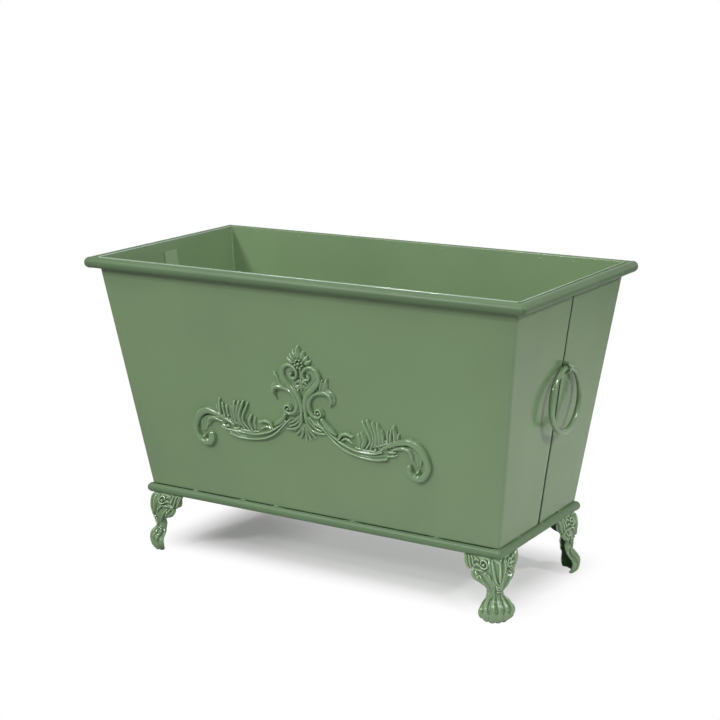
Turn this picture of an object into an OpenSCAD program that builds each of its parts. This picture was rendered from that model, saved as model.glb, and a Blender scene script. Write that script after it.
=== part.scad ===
// Rectangular garden planter: a tapered sheet-metal tub with a tube rim, a tube
// base frame, ring handles, a cast scroll ornament and four hollow claw feet.
// Millimetres, +Z up, origin on the floor under the middle of the tub.
// X runs along the length, and the ornament is on the -Y side.

/* [Tub] */
// Length of the tub at the rim, outside the sheet
rim_l = 700; // [620:10:800]
// Width of the tub at the rim, outside the sheet
rim_w = 335; // [310:5:400]
// Length of the tub at its bottom edge, outside the sheet
bottom_l = 600; // [560:10:640]
// Width of the tub at its bottom edge, outside the sheet
bottom_w = 241; // [220:3:280]
// Height of the tub from bottom edge to rim
tub_h = 355; // [320:5:420]
// Thickness of the sheet metal
sheet_t = 1.5; // [1:0.1:2]
// Outside radius of the folded corners
fold_r = 5; // [3:0.5:10]
// Gap of the open seam in the middle of each end
seam_gap = 0.8; // [0.4:0.1:1.5]
// Width of the strip behind each seam
strap_w = 30; // [24:2:44]
// Height of the floor pan's upturned lip
pan_lip = 16; // [12:1:24]
// Diameter of the drain holes
drain_d = 12; // [8:1:18]
// Distance between neighbouring drain holes
drain_pitch = 110; // [80:5:120]

/* [Tubes] */
// Diameter of the rim tube
rim_d = 16; // [12:1:20]
// Diameter of the base frame tube
base_d = 15; // [12:0.5:18]
// Wall of both tubes
tube_wall = 1.5; // [1:0.1:2.5]
// How far the base tube's middle lies inside the tub's outer face
base_inset = 2; // [1:0.25:3]

/* [Ring handles] */
// Outside diameter of a ring
ring_od = 98; // [80:1:110]
// Diameter of the ring's rod
ring_rod = 8; // [6:0.5:10]
// Height of the rim above the point where a ring hangs
ring_drop = 122; // [100:2:160]
// Diameter of the staple's rod
eye_rod = 4; // [3:0.25:5]
// Outside width of the plate behind a staple
eye_plate_w = 20; // [16:1:24]

/* [Feet] */
// Height of a foot, from the floor to its flange
foot_h = 92; // [85:1:115]
// Length of a foot's wing along each base tube
wing_l = 52; // [46:1:58]
// Width of a paw
paw_w = 50; // [42:1:52]
// Width of the ankle
ankle_w = 22; // [18:1:28]
// Thickness of the casting
cast_t = 4.5; // [3.5:0.25:5.5]
// Thickness of the flange on top of a foot
flange_t = 5; // [4:0.5:7]
// How far the paw stands out past the crossing of the base tubes' middle lines
paw_out = 8.8; // [6:0.4:10]
// Depth of the grooves between the toes
toe_groove = 1.8; // [1:0.1:2.5]
// Diameter of the bolts that hold the feet
bolt_d = 6; // [5:0.5:8]
// Distance of a bolt from the corner of the base frame, along a tube
bolt_reach = 36; // [32:1:38]

/* [Ornament] */
// Overall width of the ornament, over both end scrolls
ornament_w = 408; // [372:4:440]
// Height of the crest's middle above the tub's bottom edge, along the panel
crest_mid = 179; // [174:1:200]
// Relief of the widest scrolls
relief = 7; // [5:0.5:9]
// Width of the main scroll bands
band_w = 10.5; // [8:0.5:11]
// Diameter of the pins cast on the ornament's back
pin_d = 4; // [3:0.25:5]

/* [Hidden] */

// Clearances: flat face on flat face, round on flat, a pin in its hole
seat = 0.1;
rest_gap = 0.25;
hole_fit = 0.3;
over = 1;
slice = 0.01;

// Levels
base_z = foot_h + seat + base_d/2;
tub_z = base_z + base_d/2 + seat;
rim_z = tub_z + tub_h;

// Slope of the ends and of the long sides
end_flare = atan((rim_l - bottom_l)/2/tub_h);
side_flare = atan((rim_w - bottom_w)/2/tub_h);
function half_l(z) = bottom_l/2 + (z - tub_z)*tan(end_flare);
function half_w(z) = bottom_w/2 + (z - tub_z)*tan(side_flare);

// Gap between the pan's lip and the strip behind the seam
strap_gap = 2;

// Middle lines of the two tube frames
rim_mid_z = rim_z - rim_d/2;
rim_x = half_l(rim_mid_z) + rim_d/2/cos(end_flare) + rest_gap;
rim_y = half_w(rim_mid_z) + rim_d/2/cos(side_flare) + rest_gap;
base_x = bottom_l/2 - base_inset;
base_y = bottom_w/2 - base_inset;

// Ring handles: the hinge line lies across the end, just clear of the sheet
hinge_z = rim_z - ring_drop;
ring_clear = 1.2;
hinge_out = ring_rod/2 + ring_clear;
hinge_x = half_l(hinge_z) + hinge_out*cos(end_flare);
hinge_level = hinge_z - hinge_out*sin(end_flare);
ring_r = (ring_od - ring_rod)/2;
eye_r = ring_rod/2 + hole_fit + eye_rod/2;
eye_hole_d = eye_rod + 2*hole_fit;
stack_t = 3*sheet_t + 3*seat;
eye_head_t = 1.5;
eye_head_over = 1.5;

// Feet
bolt_hole_d = bolt_d + 2*hole_fit;
washer_d = 2.1*bolt_d;
washer_t = 0.27*bolt_d;
nut_af = 1.65*bolt_d;
nut_t = 0.8*bolt_d;
head_t = 0.65*bolt_d;
thread_out = 2;
boss_wall = 3.5;
bolt_inset = base_d/2 + washer_d/2 + 1.25;
boss_d = bolt_hole_d + 2*boss_wall;

ground = [0.42, 0.53, 0.40];
shade = [0.38, 0.49, 0.37];
light = [0.47, 0.58, 0.44];

// The four corners of the tub, as signs of X and Y with the foot's turn
corners = [[-1, -1, -135], [1, -1, -45], [-1, 1, 135], [1, 1, 45]];

// Puts a piece on the end wall: +X out of the sheet, +Z up its slope
module on_end(z) {
    translate([half_l(z), 0, z]) rotate([0, end_flare, 0]) children();
}

// Puts a piece on the front panel: +X right, +Y up its slope, +Z out of the sheet
module on_front() {
    translate([0, -bottom_w/2, tub_z]) rotate([90 + side_flare, 0, 0]) children();
}

module turned(left) {
    rotate([0, 0, left ? 180 : 0]) children();
}

// Tapered block with folded corners, a distance "deep" inside the tub's outer face
module tub_block(deep, low, high) {
    inset_x = deep/cos(end_flare);
    inset_y = deep/cos(side_flare);
    r = max(fold_r - deep, 1);
    hull() for (z = [low, high - slice])
        translate([0, 0, z])
            linear_extrude(slice)
                offset(r, $fn = 20)
                    square([
                        2*(half_l(z) - inset_x - r),
                        2*(half_w(z) - inset_y - r)
                    ], center = true);
}

module eye_holes() {
    on_end(hinge_z) for (side = [-1, 1])
        translate([0, 0, side*eye_r])
            rotate([0, 90, 0]) cylinder(h = 8*stack_t, d = eye_hole_d, center = true, $fn = 32);
}

module tub_half(side) {
    difference() {
        tub_block(0, tub_z, rim_z);
        tub_block(sheet_t, tub_z - over, rim_z + over);
        translate([-rim_l, side < 0 ? -seam_gap/2 : seam_gap/2 - rim_w, 0])
            cube([2*rim_l, rim_w, 2*rim_z]);
        eye_holes();
        turned(true) eye_holes();
        if (side < 0) pin_holes();
    }
}

module pin_holes() {
    on_front() for (at = concat(crest_pins, garland_pins(-1), garland_pins(1)))
        translate([at[0], at[1], 0])
            cylinder(h = 6*sheet_t, d = pin_d + 2*hole_fit, center = true, $fn = 32);
}

module front_shell() {
    color(ground) tub_half(-1);
}

module back_shell() {
    color(ground) tub_half(1);
}

module floor_pan() {
    fit = seat + sheet_t;
    color(shade) difference() {
        tub_block(fit, tub_z, tub_z + pan_lip);
        tub_block(fit + sheet_t, tub_z + sheet_t, tub_z + pan_lip + over);
        for (i = [-2:2]) translate([i*drain_pitch, 0, tub_z - over])
            cylinder(h = sheet_t + 2*over, d = drain_d, $fn = 48);
        at_bolts(tub_z - over)
            cylinder(h = sheet_t + 2*over, d = bolt_hole_d, $fn = 32);
    }
}

// Strip inside the end wall that closes the seam, from the pan to just below the rim
module seam_strap() {
    low = tub_z + pan_lip + strap_gap;
    high = rim_z - rim_d;
    color(shade) difference() {
        on_end(low) translate([-2*sheet_t - seat, -strap_w/2, 0])
            cube([sheet_t, strap_w, (high - low)/cos(end_flare)]);
        eye_holes();
    }
}

// Closed rectangle of tube, cut at 45 degrees into four lengths
module tube_length(x, y, z, d, long_side, sign_out) {
    gap = seat/2;
    intersection() {
        difference() {
            if (long_side)
                translate([0, sign_out*y, z]) rotate([0, 90, 0])
                    cylinder(h = 2*(x + d), d = d, center = true, $fn = 64);
            else
                translate([sign_out*x, 0, z]) rotate([90, 0, 0])
                    cylinder(h = 2*(y + d), d = d, center = true, $fn = 64);
            if (long_side)
                translate([0, sign_out*y, z]) rotate([0, 90, 0])
                    cylinder(h = 3*(x + d), d = d - 2*tube_wall, center = true, $fn = 64);
            else
                translate([sign_out*x, 0, z]) rotate([90, 0, 0])
                    cylinder(h = 3*(y + d), d = d - 2*tube_wall, center = true, $fn = 64);
        }
        translate([0, 0, z - d]) linear_extrude(2*d)
            if (long_side)
                polygon([
                    [-x - d, sign_out*(y + d + gap)], [x + d, sign_out*(y + d + gap)],
                    [x - d, sign_out*(y - d + gap)], [-x + d, sign_out*(y - d + gap)]
                ]);
            else
                polygon([
                    [sign_out*(x + d + gap), -y - d], [sign_out*(x + d + gap), y + d],
                    [sign_out*(x - d + gap), y - d], [sign_out*(x - d + gap), -y + d]
                ]);
    }
}

module rim(long_side, sign_out) {
    color(light) tube_length(rim_x, rim_y, rim_mid_z, rim_d, long_side, sign_out);
}

module base_rail(long_side, sign_out) {
    color(light) tube_length(base_x, base_y, base_z, base_d, long_side, sign_out);
}

module ring() {
    color(light) translate([hinge_x, 0, hinge_level - ring_r])
        rotate([0, 90, 0])
            rotate_extrude($fn = 96) translate([ring_r, 0]) circle(d = ring_rod, $fn = 32);
}

// Staple round the ring's rod; its legs pass through sheet, strip and plate
module ring_eye() {
    leg = hinge_out + stack_t + seat;
    color(light) on_end(hinge_z) {
        translate([hinge_out, 0, 0]) rotate([90, 0, 0]) rotate([0, 0, -90])
            rotate_extrude(angle = 180, $fn = 64) translate([eye_r, 0]) circle(d = eye_rod, $fn = 32);
        for (side = [-1, 1]) translate([0, 0, side*eye_r]) rotate([0, 90, 0]) {
            translate([0, 0, hinge_out - leg]) cylinder(h = leg, d = eye_rod, $fn = 32);
            translate([0, 0, hinge_out - leg - eye_head_t])
                cylinder(h = eye_head_t, d = eye_rod + 2*eye_head_over, $fn = 32);
        }
    }
}

module eye_plate() {
    color(shade) difference() {
        on_end(hinge_z)
            translate([-3*sheet_t - 2*seat, -eye_plate_w/2, -eye_plate_w/2 - eye_r])
                cube([sheet_t, eye_plate_w, eye_plate_w + 2*eye_r]);
        eye_holes();
    }
}

// Places of the eight bolts: two beside each corner of the base frame
module at_bolts(z) {
    for (c = corners) {
        translate([c[0]*(base_x - bolt_reach), c[1]*(base_y - bolt_inset), z]) children();
        translate([c[0]*(base_x - bolt_inset), c[1]*(base_y - bolt_reach), z]) children();
    }
}

// A foot stands in its own frame: +X out along the corner's diagonal, origin on
// the floor under the crossing of the base tubes' middle lines.
// A station is one level of the foot's wall: [height share, front reach, half width,
// half depth, squareness, wrap]. Squareness 2 is round and 1 is a right-angled corner;
// wrap is the angle through which the wall goes round from the front.
function paw(h, reach, w, d) = [h, reach*paw_out, w*paw_w, d*paw_w, 2.1, 118];
function ankle(h, reach, w, d) = [h, reach*paw_out, w*ankle_w, d*ankle_w, 2, 124];
function wing(h, reach, w, square) =
    [h, reach*paw_out, w*wing_l, w*wing_l + reach*paw_out, square, 90];

leg_stations = [
    paw(0.000, 0.70, 0.45, 0.31),
    paw(0.100, 1.00, 0.50, 0.34),
    paw(0.240, 0.95, 0.49, 0.34),
    paw(0.340, 0.40, 0.38, 0.31),
    ankle(0.400, -0.10, 0.60, 0.58),
    ankle(0.480, -0.25, 0.51, 0.54),
    wing(0.572, 0.12, 0.290, 1.70),
    wing(0.610, 0.26, 0.335, 1.58),
    wing(0.648, 0.38, 0.455, 1.42),
    wing(0.710, 0.62, 0.545, 1.36),
    wing(0.775, 0.80, 0.580, 1.32),
    wing(0.815, 0.86, 0.700, 1.26),
    wing(0.900, 0.72, 0.708, 1.20),
    wing(1.000, 0.14, 0.708, 1.12)
];
// Toes, points across one toe, and points round the inside of the casting
toes = 5;
toe_steps = 4;
outer_steps = toe_steps*toes;
inner_steps = 4;

// A point of a station's outline at angle a, "deep" inside the outer face
function leg_point(s, a, deep) =
    let (
        k = 1 + 0.41*(2 - min(s[4], 2)),
        half_d = s[3] - deep*k,
        half_b = s[2] - deep*k,
        power = 2/s[4],
        ca = cos(a),
        sa = sin(a)
    )
    [
        s[1] - s[3] + half_d*sign(ca)*pow(abs(ca), power),
        half_b*sign(sa)*pow(abs(sa), power),
        s[0]*foot_h
    ];

// The points of the outer face lie closer together at the front, where the toes are
function bunched(t) = 0.48*t + 0.52*pow(t, 5);

// Grooves between the toes fade out towards the ankle
function toe_depth(share, i) =
    share < 0.4 && i > 0 && i < outer_steps && i % toe_steps == 0
        ? toe_groove*sin(180*(share + 0.03)/0.43)
        : 0;

function leg_ring(s) = concat(
    [for (i = [0:outer_steps])
        leg_point(s, s[5]*bunched(2*i/outer_steps - 1), toe_depth(s[0], i))],
    [for (i = [inner_steps:-1:0])
        leg_point(s, -s[5] + 2*s[5]*i/inner_steps, cast_t)]
);

// Joins rings of equal count into one closed skin
module skin(rings) {
    n = len(rings[0]);
    m = len(rings);
    polyhedron(
        points = [for (r = rings) each r],
        faces = concat(
            [[for (i = [0:n - 1]) i]],
            [for (j = [0:m - 2], i = [0:n - 1])
                let (k = (i + 1) % n)
                each [
                    [j*n + i, (j + 1)*n + i, (j + 1)*n + k],
                    [j*n + i, (j + 1)*n + k, j*n + k]
                ]],
            [[for (i = [n - 1:-1:0]) (m - 1)*n + i]]
        )
    );
}

// A rounded lobe between two points
module lobe(p, r1, q, r2) {
    hull() {
        translate(p) sphere(r1, $fn = 6);
        translate(q) sphere(r2, $fn = 6);
    }
}

// Middle of the wing's face at a height share, "along" from the knee to the wing's end
function on_wing(along, side, share) =
    [-along*wing_l/sqrt(2) + 0.3*paw_out, side*along*wing_l/sqrt(2), share*foot_h];

// Leaf work of a foot: scrolled lobes on each wing, and a leaf down the knee
module foot_leaves() {
    big = 0.09*wing_l;
    small = 0.06*wing_l;
    for (side = [-1, 1]) {
        lobe(on_wing(0.86, side, 0.93), small, on_wing(0.80, side, 0.86), big);
        lobe(on_wing(0.62, side, 0.73), big, on_wing(0.45, side, 0.69), small);
    }
    lobe([0.55*paw_out, 0, 0.88*foot_h], big, [0.30*paw_out, 0, 0.68*foot_h], big);
    lobe([0.20*paw_out, 0, 0.66*foot_h], small, [-0.25*paw_out, 0, 0.54*foot_h], small);
}

// Flange under the base tubes, with a boss at each bolt that reaches up to the pan
module foot_flange() {
    arm_l = bolt_reach + boss_d/2;
    for (side = [0, 1]) mirror([0, side, 0]) rotate([0, 0, 45]) {
        hull() {
            translate([-arm_l, -cast_t/2, foot_h - flange_t]) cube([arm_l, cast_t, flange_t]);
            translate([-bolt_reach, bolt_inset, foot_h - flange_t])
                cylinder(h = flange_t, d = boss_d, $fn = 12);
            translate([-bolt_inset, bolt_inset, foot_h - flange_t]) cube([cast_t, cast_t, flange_t]);
        }
        translate([-bolt_reach, bolt_inset, foot_h - flange_t])
            cylinder(h = tub_z - seat - foot_h + flange_t, d = boss_d, $fn = 12);
    }
}

module foot_bores() {
    for (side = [0, 1]) mirror([0, side, 0]) rotate([0, 0, 45])
        translate([-bolt_reach, bolt_inset, 0])
            cylinder(h = 2*foot_h, d = bolt_hole_d, $fn = 14);
}

module foot(c) {
    color(shade) translate([c[0]*base_x, c[1]*base_y, 0]) rotate([0, 0, c[2]])
        difference() {
            union() {
                skin([for (s = leg_stations) leg_ring(s)]);
                foot_leaves();
                foot_flange();
            }
            foot_bores();
            translate([-2*wing_l, -2*wing_l, -foot_h]) cube([4*wing_l, 4*wing_l, foot_h]);
        }
}

module foot_bolts() {
    grip = washer_t + sheet_t + tub_z - foot_h + flange_t + 2*seat;
    color("silver") at_bolts(tub_z + sheet_t + 2*seat + washer_t) {
        cylinder(h = head_t, d = nut_af/cos(30), $fn = 6);
        translate([0, 0, -grip - nut_t - thread_out])
            cylinder(h = grip + nut_t + thread_out, d = bolt_d, $fn = 32);
    }
}

module foot_washers() {
    color("silver") at_bolts(tub_z + sheet_t + seat) difference() {
        cylinder(h = washer_t, d = washer_d, $fn = 48);
        translate([0, 0, -over]) cylinder(h = washer_t + 2*over, d = bolt_hole_d, $fn = 32);
    }
}

module foot_nuts() {
    color("silver") at_bolts(foot_h - flange_t - seat - nut_t) difference() {
        cylinder(h = nut_t, d = nut_af/cos(30), $fn = 6);
        translate([0, 0, -over]) cylinder(h = nut_t + 2*over, d = bolt_d + 2*seat, $fn = 32);
    }
}

// The ornament is drawn in units about the crest's middle, 412 of them across
grow = ornament_w/412;
crest_pins = [[0, crest_mid + 22*grow], [0, crest_mid - 16*grow]];
function garland_pins(side) =
    [[side*60*grow, crest_mid - 60*grow], [side*126*grow, crest_mid - 68*grow]];

function mix(a, b, t) = a + (b - a)*t;

// The value of a list at a share of its length
function along(list, t) =
    let (k = t*(len(list) - 1), i = min(floor(k), len(list) - 2))
    mix(list[i], list[i + 1], k - i);

// A smooth curve through the given points, with n steps from each to the next
function through(p, n) =
    let (last = len(p) - 1)
    [
        for (i = [0:last - 1], j = [0:n - 1])
            let (
                t = j/n,
                a = p[max(i - 1, 0)],
                b = p[i],
                c = p[i + 1],
                d = p[min(i + 2, last)]
            )
            grow/2*(2*b + (c - a)*t + (2*a - 5*b + 4*c - d)*t*t + (3*b - 3*c + d - a)*t*t*t),
        grow*p[last]
    ];

function unit(v) = v/norm(v);

// Faces of a band, from its left edge to its right: [share of width, share of height]
round_face = [[-0.5, 0], [-0.4, 0.75], [0, 1], [0.4, 0.75], [0.5, 0]];
grooved_face = [[-0.5, 0], [-0.3, 1], [0, 0.6], [0.3, 1], [0.5, 0]];
keeled_face = [[-0.5, 0], [0, 1], [0.5, 0]];

// A raised band along a flat curve, flat behind: its width and height follow
// lists of shares from its start to its end
module ribbon(pts, w, h, widths, heights, face = round_face) {
    n = len(pts) - 1;
    skin([for (i = [0:n])
        let (
            ahead = unit(pts[min(i + 1, n)] - pts[max(i - 1, 0)]),
            across = [ahead[1], -ahead[0]],
            wide = w*along(widths, i/n),
            high = h*along(heights, i/n)
        )
        [for (q = face) [
            pts[i][0] + across[0]*q[0]*wide,
            pts[i][1] + across[1]*q[0]*wide,
            q[1]*high
        ]]
    ]);
}

// A strand of a leaf: narrow at its root and full near its end
module strand(root, middle, tip, w, h) {
    ribbon(grow*[root, mix(root, middle, 0.95), mix(middle, tip, 0.7), tip], w*grow, h*relief,
        [0.5, 0.85, 1, 0.55], [0.8, 1, 1, 0.7], keeled_face);
}

// A pointed leaf: full near its root
module blade(root, middle, tip, w, h) {
    ribbon(grow*[root, middle, tip], w*grow, h*relief, [0.8, 1, 0.15], [0.9, 1, 0.4],
        keeled_face);
}

// A berry, flat behind
module berry(at, r, h) {
    translate([grow*at[0], grow*at[1], 0]) hull() {
        cylinder(h = 0.5*h*relief, r = r*grow, $fn = 6);
        cylinder(h = h*relief, r = 0.45*r*grow, $fn = 6);
    }
}

module mirrored() {
    children();
    mirror([1, 0, 0]) children();
}

// Right half of the crest
module crest_half() {
    // Heart-shaped band: up from the neck, over the shoulder and into its volute
    ribbon(through([
        [3.5, -26], [3.5, -8], [9, 7], [21, 19], [29.8, 30], [28.8, 42.5],
        [18, 49.6], [7.8, 45], [6.6, 35], [13.5, 32.5], [14, 38.5]
    ], 2), band_w, relief, [0.62, 0.74, 1, 1.05, 0.95, 0.75, 0.5, 0.42], [0.8, 0.95, 1, 1, 0.85]);
    // C-shaped band outside the heart: hook at the top, volute at the bottom
    ribbon(through([
        [46.5, -5], [50.8, 6], [43.5, 15.5], [32, 15], [20.5, 10.5], [11.5, 2],
        [8.8, -12], [16, -23.2], [27, -24], [30.8, -15], [25, -12.5]
    ], 2), band_w, relief, [0.35, 1, 0.95, 0.78, 0.92, 0.9, 0.72, 0.5], [0.6, 1, 0.85, 0.9, 1],
        grooved_face);
    berry([25.5, -18], 5.2, 1.14);
    // Low hollow face inside the heart
    ribbon(through([[12, 14], [20, 24], [23, 34], [20, 42], [13, 45]], 1),
        band_w, relief, [0.5, 1, 1, 0.7], [0.4, 0.5, 0.5]);
    // Leaves that stand on the hook
    blade([39, 18], [41, 27], [45, 37], 9.5, 0.7);
    blade([33, 19], [35, 27], [36.5, 35], 8, 0.62);
    // Petals round the berries
    strand([4, 58.5], [7, 63.5], [8.8, 70.5], 8.5, 0.8);
    strand([6, 56.5], [10.5, 60], [13.8, 65], 8.5, 0.8);
    strand([7.5, 52.5], [13, 55.5], [18, 59.5], 8.5, 0.8);
    // Leaves under the volutes
    blade([1, 26], [6, 27], [12, 23.5], 7, 0.7);
    blade([1, 22], [5, 18], [7.5, 11], 6.5, 0.64);
    // Bow below the neck, with a leaf inside it and strands under it
    ribbon(through([[3.5, -24], [6, -36], [14, -46.3], [31, -49]], 2),
        0.7*band_w, 0.83*relief, [0.95, 1, 0.9, 0.4], [1, 1, 0.6]);
    blade([8, -28], [16, -37], [29, -44], 10, 0.6);
    strand([3, -39], [9, -49.5], [15.5, -56.5], 6, 0.66);
    strand([2, -41], [5.5, -52], [8, -59.5], 6, 0.7);
}

module crest_ornament() {
    color(light) on_front() translate([0, crest_mid, seat]) {
        mirrored() crest_half();
        strand([0, 59], [0, 68], [0.5, 79], 10.5, 0.94);
        blade([0, 30], [0, 24], [0, 12], 8, 0.78);
        blade([0, -43], [0, -54], [0, -64.5], 5, 0.5);
        ribbon([[0, 50*grow], [0, 28*grow]], 0.5*band_w, 0.57*relief, [1, 1], [1, 1]);
        for (a = [20:60:320]) berry([6*cos(a), 54.3 + 6*sin(a)], 2.9, 0.94);
        berry([0, 54.3], 3.4, 1.1);
        translate([0, 54.3*grow, 0]) cylinder(h = 0.4*relief, r = 8*grow, $fn = 12);
        pins([for (p = crest_pins) p - [0, crest_mid]]);
    }
}

// Pins cast on the back pass through the front panel
module pins(places) {
    for (p = places) translate([p[0], p[1], -2*sheet_t - seat])
        cylinder(h = 2*sheet_t + seat + 0.4*relief, d = pin_d, $fn = 16);
}

// Leaf strands of a garland: [root, middle, tip, width, share of the relief]
garland_strands = [
    [[85, -63], [91.5, -50], [89.5, -42], 7, 0.63],
    [[90, -64], [99.5, -49], [95.5, -39.5], 9, 0.8],
    [[97, -65], [110, -47], [100.5, -21], 8, 0.92],
    [[104, -65], [116, -43], [107.5, -18.5], 9, 0.97],
    [[112, -64], [121, -41], [117, -22.5], 8.6, 0.9],
    [[120, -62], [126.5, -41], [124.5, -22], 8.4, 0.92],
    [[127, -61], [137, -45], [139.5, -29.5], 6.6, 0.74],
    [[134, -60], [143, -44], [146, -27], 7, 0.82],
    [[140, -58], [150, -42], [150.5, -21], 8, 0.95],
    [[146, -54], [154.5, -43], [156, -31], 7, 0.78]
];

// The right garland
module garland_half() {
    // Stem with two ridges, and its thin tail
    ribbon(through([
        [29.5, -35], [44, -49.5], [67, -63.5], [98, -71], [133, -68]
    ], 2), 0.9*band_w, 0.8*relief, [0.85, 1, 1, 1, 0.8], [0.9, 1, 1, 0.9], grooved_face);
    ribbon(through([[130, -69.5], [143, -67], [152, -61]], 2),
        0.36*band_w, 0.65*relief, [1.3, 1, 0.6], [1, 0.8]);
    // Leaf that leads in, and the small curled leaf on the stem
    ribbon(through([[33, -32.5], [41, -41], [54, -48.5]], 2),
        band_w, relief, [0.75, 0.95, 1, 0.95, 0.55], [0.9, 1, 0.7]);
    strand([58, -55], [65, -44.5], [79, -45], 6.5, 0.77);
    strand([60, -57], [68, -54], [78, -56.5], 6.5, 0.54);
    // Strands along the stem, and the low plate that joins the leaves
    strand([84, -63], [104, -65.5], [128, -62], 5.5, 0.6);
    strand([108, -57], [121, -55], [137, -49.5], 5.5, 0.6);
    linear_extrude(0.3*relief) polygon(grow*[
        [80, -64], [86, -45], [96, -42], [103, -27], [125, -28], [132, -44],
        [139, -33], [150, -28], [155, -43], [147, -54], [130, -64], [104, -69]
    ]);
    for (s = garland_strands) {
        strand(s[0], s[1], s[2], s[3], s[4]);
        if (s[4] > 0.8) berry(s[2], 0.34*s[3], 0.9*s[4]);
    }
    // End scroll: low hollow face, outer rim, curled leaf and two berries
    ribbon(through([[152, -54], [166, -50.5], [179, -54], [187, -64], [187.5, -76], [183, -84]], 1),
        1.4*band_w, 0.5*relief, [0.25, 0.5, 0.9, 1, 0.7], [1, 1, 1.1]);
    ribbon(through([
        [128, -57], [146, -48], [161, -42.8], [177, -42.2], [191.5, -50], [200, -65],
        [198.5, -82.5], [187, -93], [174, -90.5], [170.8, -78]
    ], 2), band_w, relief, [0.5, 0.8, 0.85, 1, 0.95, 0.95, 1.05, 0.85], [0.7, 1, 1, 1, 0.9]);
    ribbon(through([[144, -59], [153, -53.5], [164, -52], [173, -56], [176, -64]], 1),
        0.95*band_w, 0.86*relief, [0.5, 0.9, 1, 0.7], [1, 1, 0.8]);
    berry([184.5, -82.5], 3, 1);
    berry([179.5, -88], 3, 1);
}

module garland(side) {
    color(light) on_front() translate([0, crest_mid, seat]) {
        mirror([side < 0 ? 1 : 0, 0, 0]) garland_half();
        pins([for (p = garland_pins(side)) p - [0, crest_mid]]);
    }
}

front_shell();
back_shell();
floor_pan();
turned(true) seam_strap();  // seam_strap_left
seam_strap();  // seam_strap_right
rim(true, -1);  // rim_front
rim(true, 1);  // rim_back
rim(false, -1);  // rim_left
rim(false, 1);  // rim_right
base_rail(true, -1);  // base_rail_front
base_rail(true, 1);  // base_rail_back
base_rail(false, -1);  // base_rail_left
base_rail(false, 1);  // base_rail_right
foot(corners[0]);  // foot_front_left
foot(corners[1]);  // foot_front_right
foot(corners[2]);  // foot_back_left
foot(corners[3]);  // foot_back_right
foot_bolts();
foot_washers();
foot_nuts();
turned(true) ring();  // ring_left
ring();  // ring_right
turned(true) ring_eye();  // ring_eye_left
ring_eye();  // ring_eye_right
turned(true) eye_plate();  // eye_plate_left
eye_plate();  // eye_plate_right
crest_ornament();
garland(-1);  // garland_left
garland(1);  // garland_right
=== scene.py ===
import math

import bpy
import numpy as np
from mathutils import Matrix, Vector


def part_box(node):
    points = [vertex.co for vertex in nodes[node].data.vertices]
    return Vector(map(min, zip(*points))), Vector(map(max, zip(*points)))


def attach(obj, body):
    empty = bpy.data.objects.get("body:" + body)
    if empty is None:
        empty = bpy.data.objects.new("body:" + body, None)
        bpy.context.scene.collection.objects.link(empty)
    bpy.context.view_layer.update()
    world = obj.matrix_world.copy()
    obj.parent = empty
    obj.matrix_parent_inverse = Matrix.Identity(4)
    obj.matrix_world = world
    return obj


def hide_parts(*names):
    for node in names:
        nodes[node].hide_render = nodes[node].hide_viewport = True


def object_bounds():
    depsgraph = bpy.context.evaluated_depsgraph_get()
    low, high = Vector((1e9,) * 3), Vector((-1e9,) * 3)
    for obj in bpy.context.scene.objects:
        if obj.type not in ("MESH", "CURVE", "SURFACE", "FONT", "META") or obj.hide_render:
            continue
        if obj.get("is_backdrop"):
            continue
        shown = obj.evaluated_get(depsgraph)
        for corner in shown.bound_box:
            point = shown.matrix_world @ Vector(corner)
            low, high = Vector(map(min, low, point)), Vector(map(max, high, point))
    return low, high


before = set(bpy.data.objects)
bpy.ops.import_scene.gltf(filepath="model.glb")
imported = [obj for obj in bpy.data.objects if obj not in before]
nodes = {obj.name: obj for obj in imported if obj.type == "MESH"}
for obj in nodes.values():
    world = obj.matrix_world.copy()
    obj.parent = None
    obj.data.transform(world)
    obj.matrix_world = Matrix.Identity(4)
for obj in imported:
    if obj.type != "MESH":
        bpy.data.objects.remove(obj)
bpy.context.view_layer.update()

# Sheet-metal garden planter in sage enamel on cast claw feet. Sizes below are in
# millimetres, and newPiece turns them into metres; the stage at the end is in metres.
scene = bpy.context.scene
mm = 0.001


def nodeBox(name):
    low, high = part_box(name)
    return np.array(low) / mm, np.array(high) / mm


def newPiece(name, points, faces, finish, body, replaced=(), creaseAngle=None):
    mesh = bpy.data.meshes.new(name)
    mesh.from_pydata((np.asarray(points, float) * mm).tolist(), [], faces)
    mesh.validate()
    mesh.polygons.foreach_set("use_smooth", [True] * len(mesh.polygons))
    if creaseAngle:
        mesh.set_sharp_from_angle(angle=math.radians(creaseAngle))
    mesh.materials.append(finish["material"])
    piece = bpy.data.objects.new(name, mesh)
    scene.collection.objects.link(piece)
    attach(piece, body)
    if replaced:
        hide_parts(*replaced)
    return piece


# Catmull-Rom curve through the given points
def smoothCurve(points, steps=10):
    p = np.array(points, float)
    p = np.vstack([2 * p[0] - p[1], p, 2 * p[-1] - p[-2]])
    t = np.linspace(0, 1, steps, endpoint=False)[:, None]
    out = []
    for i in range(1, len(p) - 2):
        a, b, c, d = p[i - 1:i + 3]
        out.append(0.5 * (2 * b + (c - a) * t + (2 * a - 5 * b + 4 * c - d) * t**2
                          + (3 * b - 3 * c + d - a) * t**3))
    out.append(p[-2:-1])
    return np.vstack(out)


# A list of values read smoothly at shares from 0 to 1
def readAlong(values, share):
    values = np.array(values, float)
    if len(values) < 3:
        return np.interp(share, np.linspace(0, 1, len(values)), values)
    dense = smoothCurve(np.stack([np.arange(len(values)), values], 1), 8)
    return np.interp(np.asarray(share) * (len(values) - 1), dense[:, 0], dense[:, 1])


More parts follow.
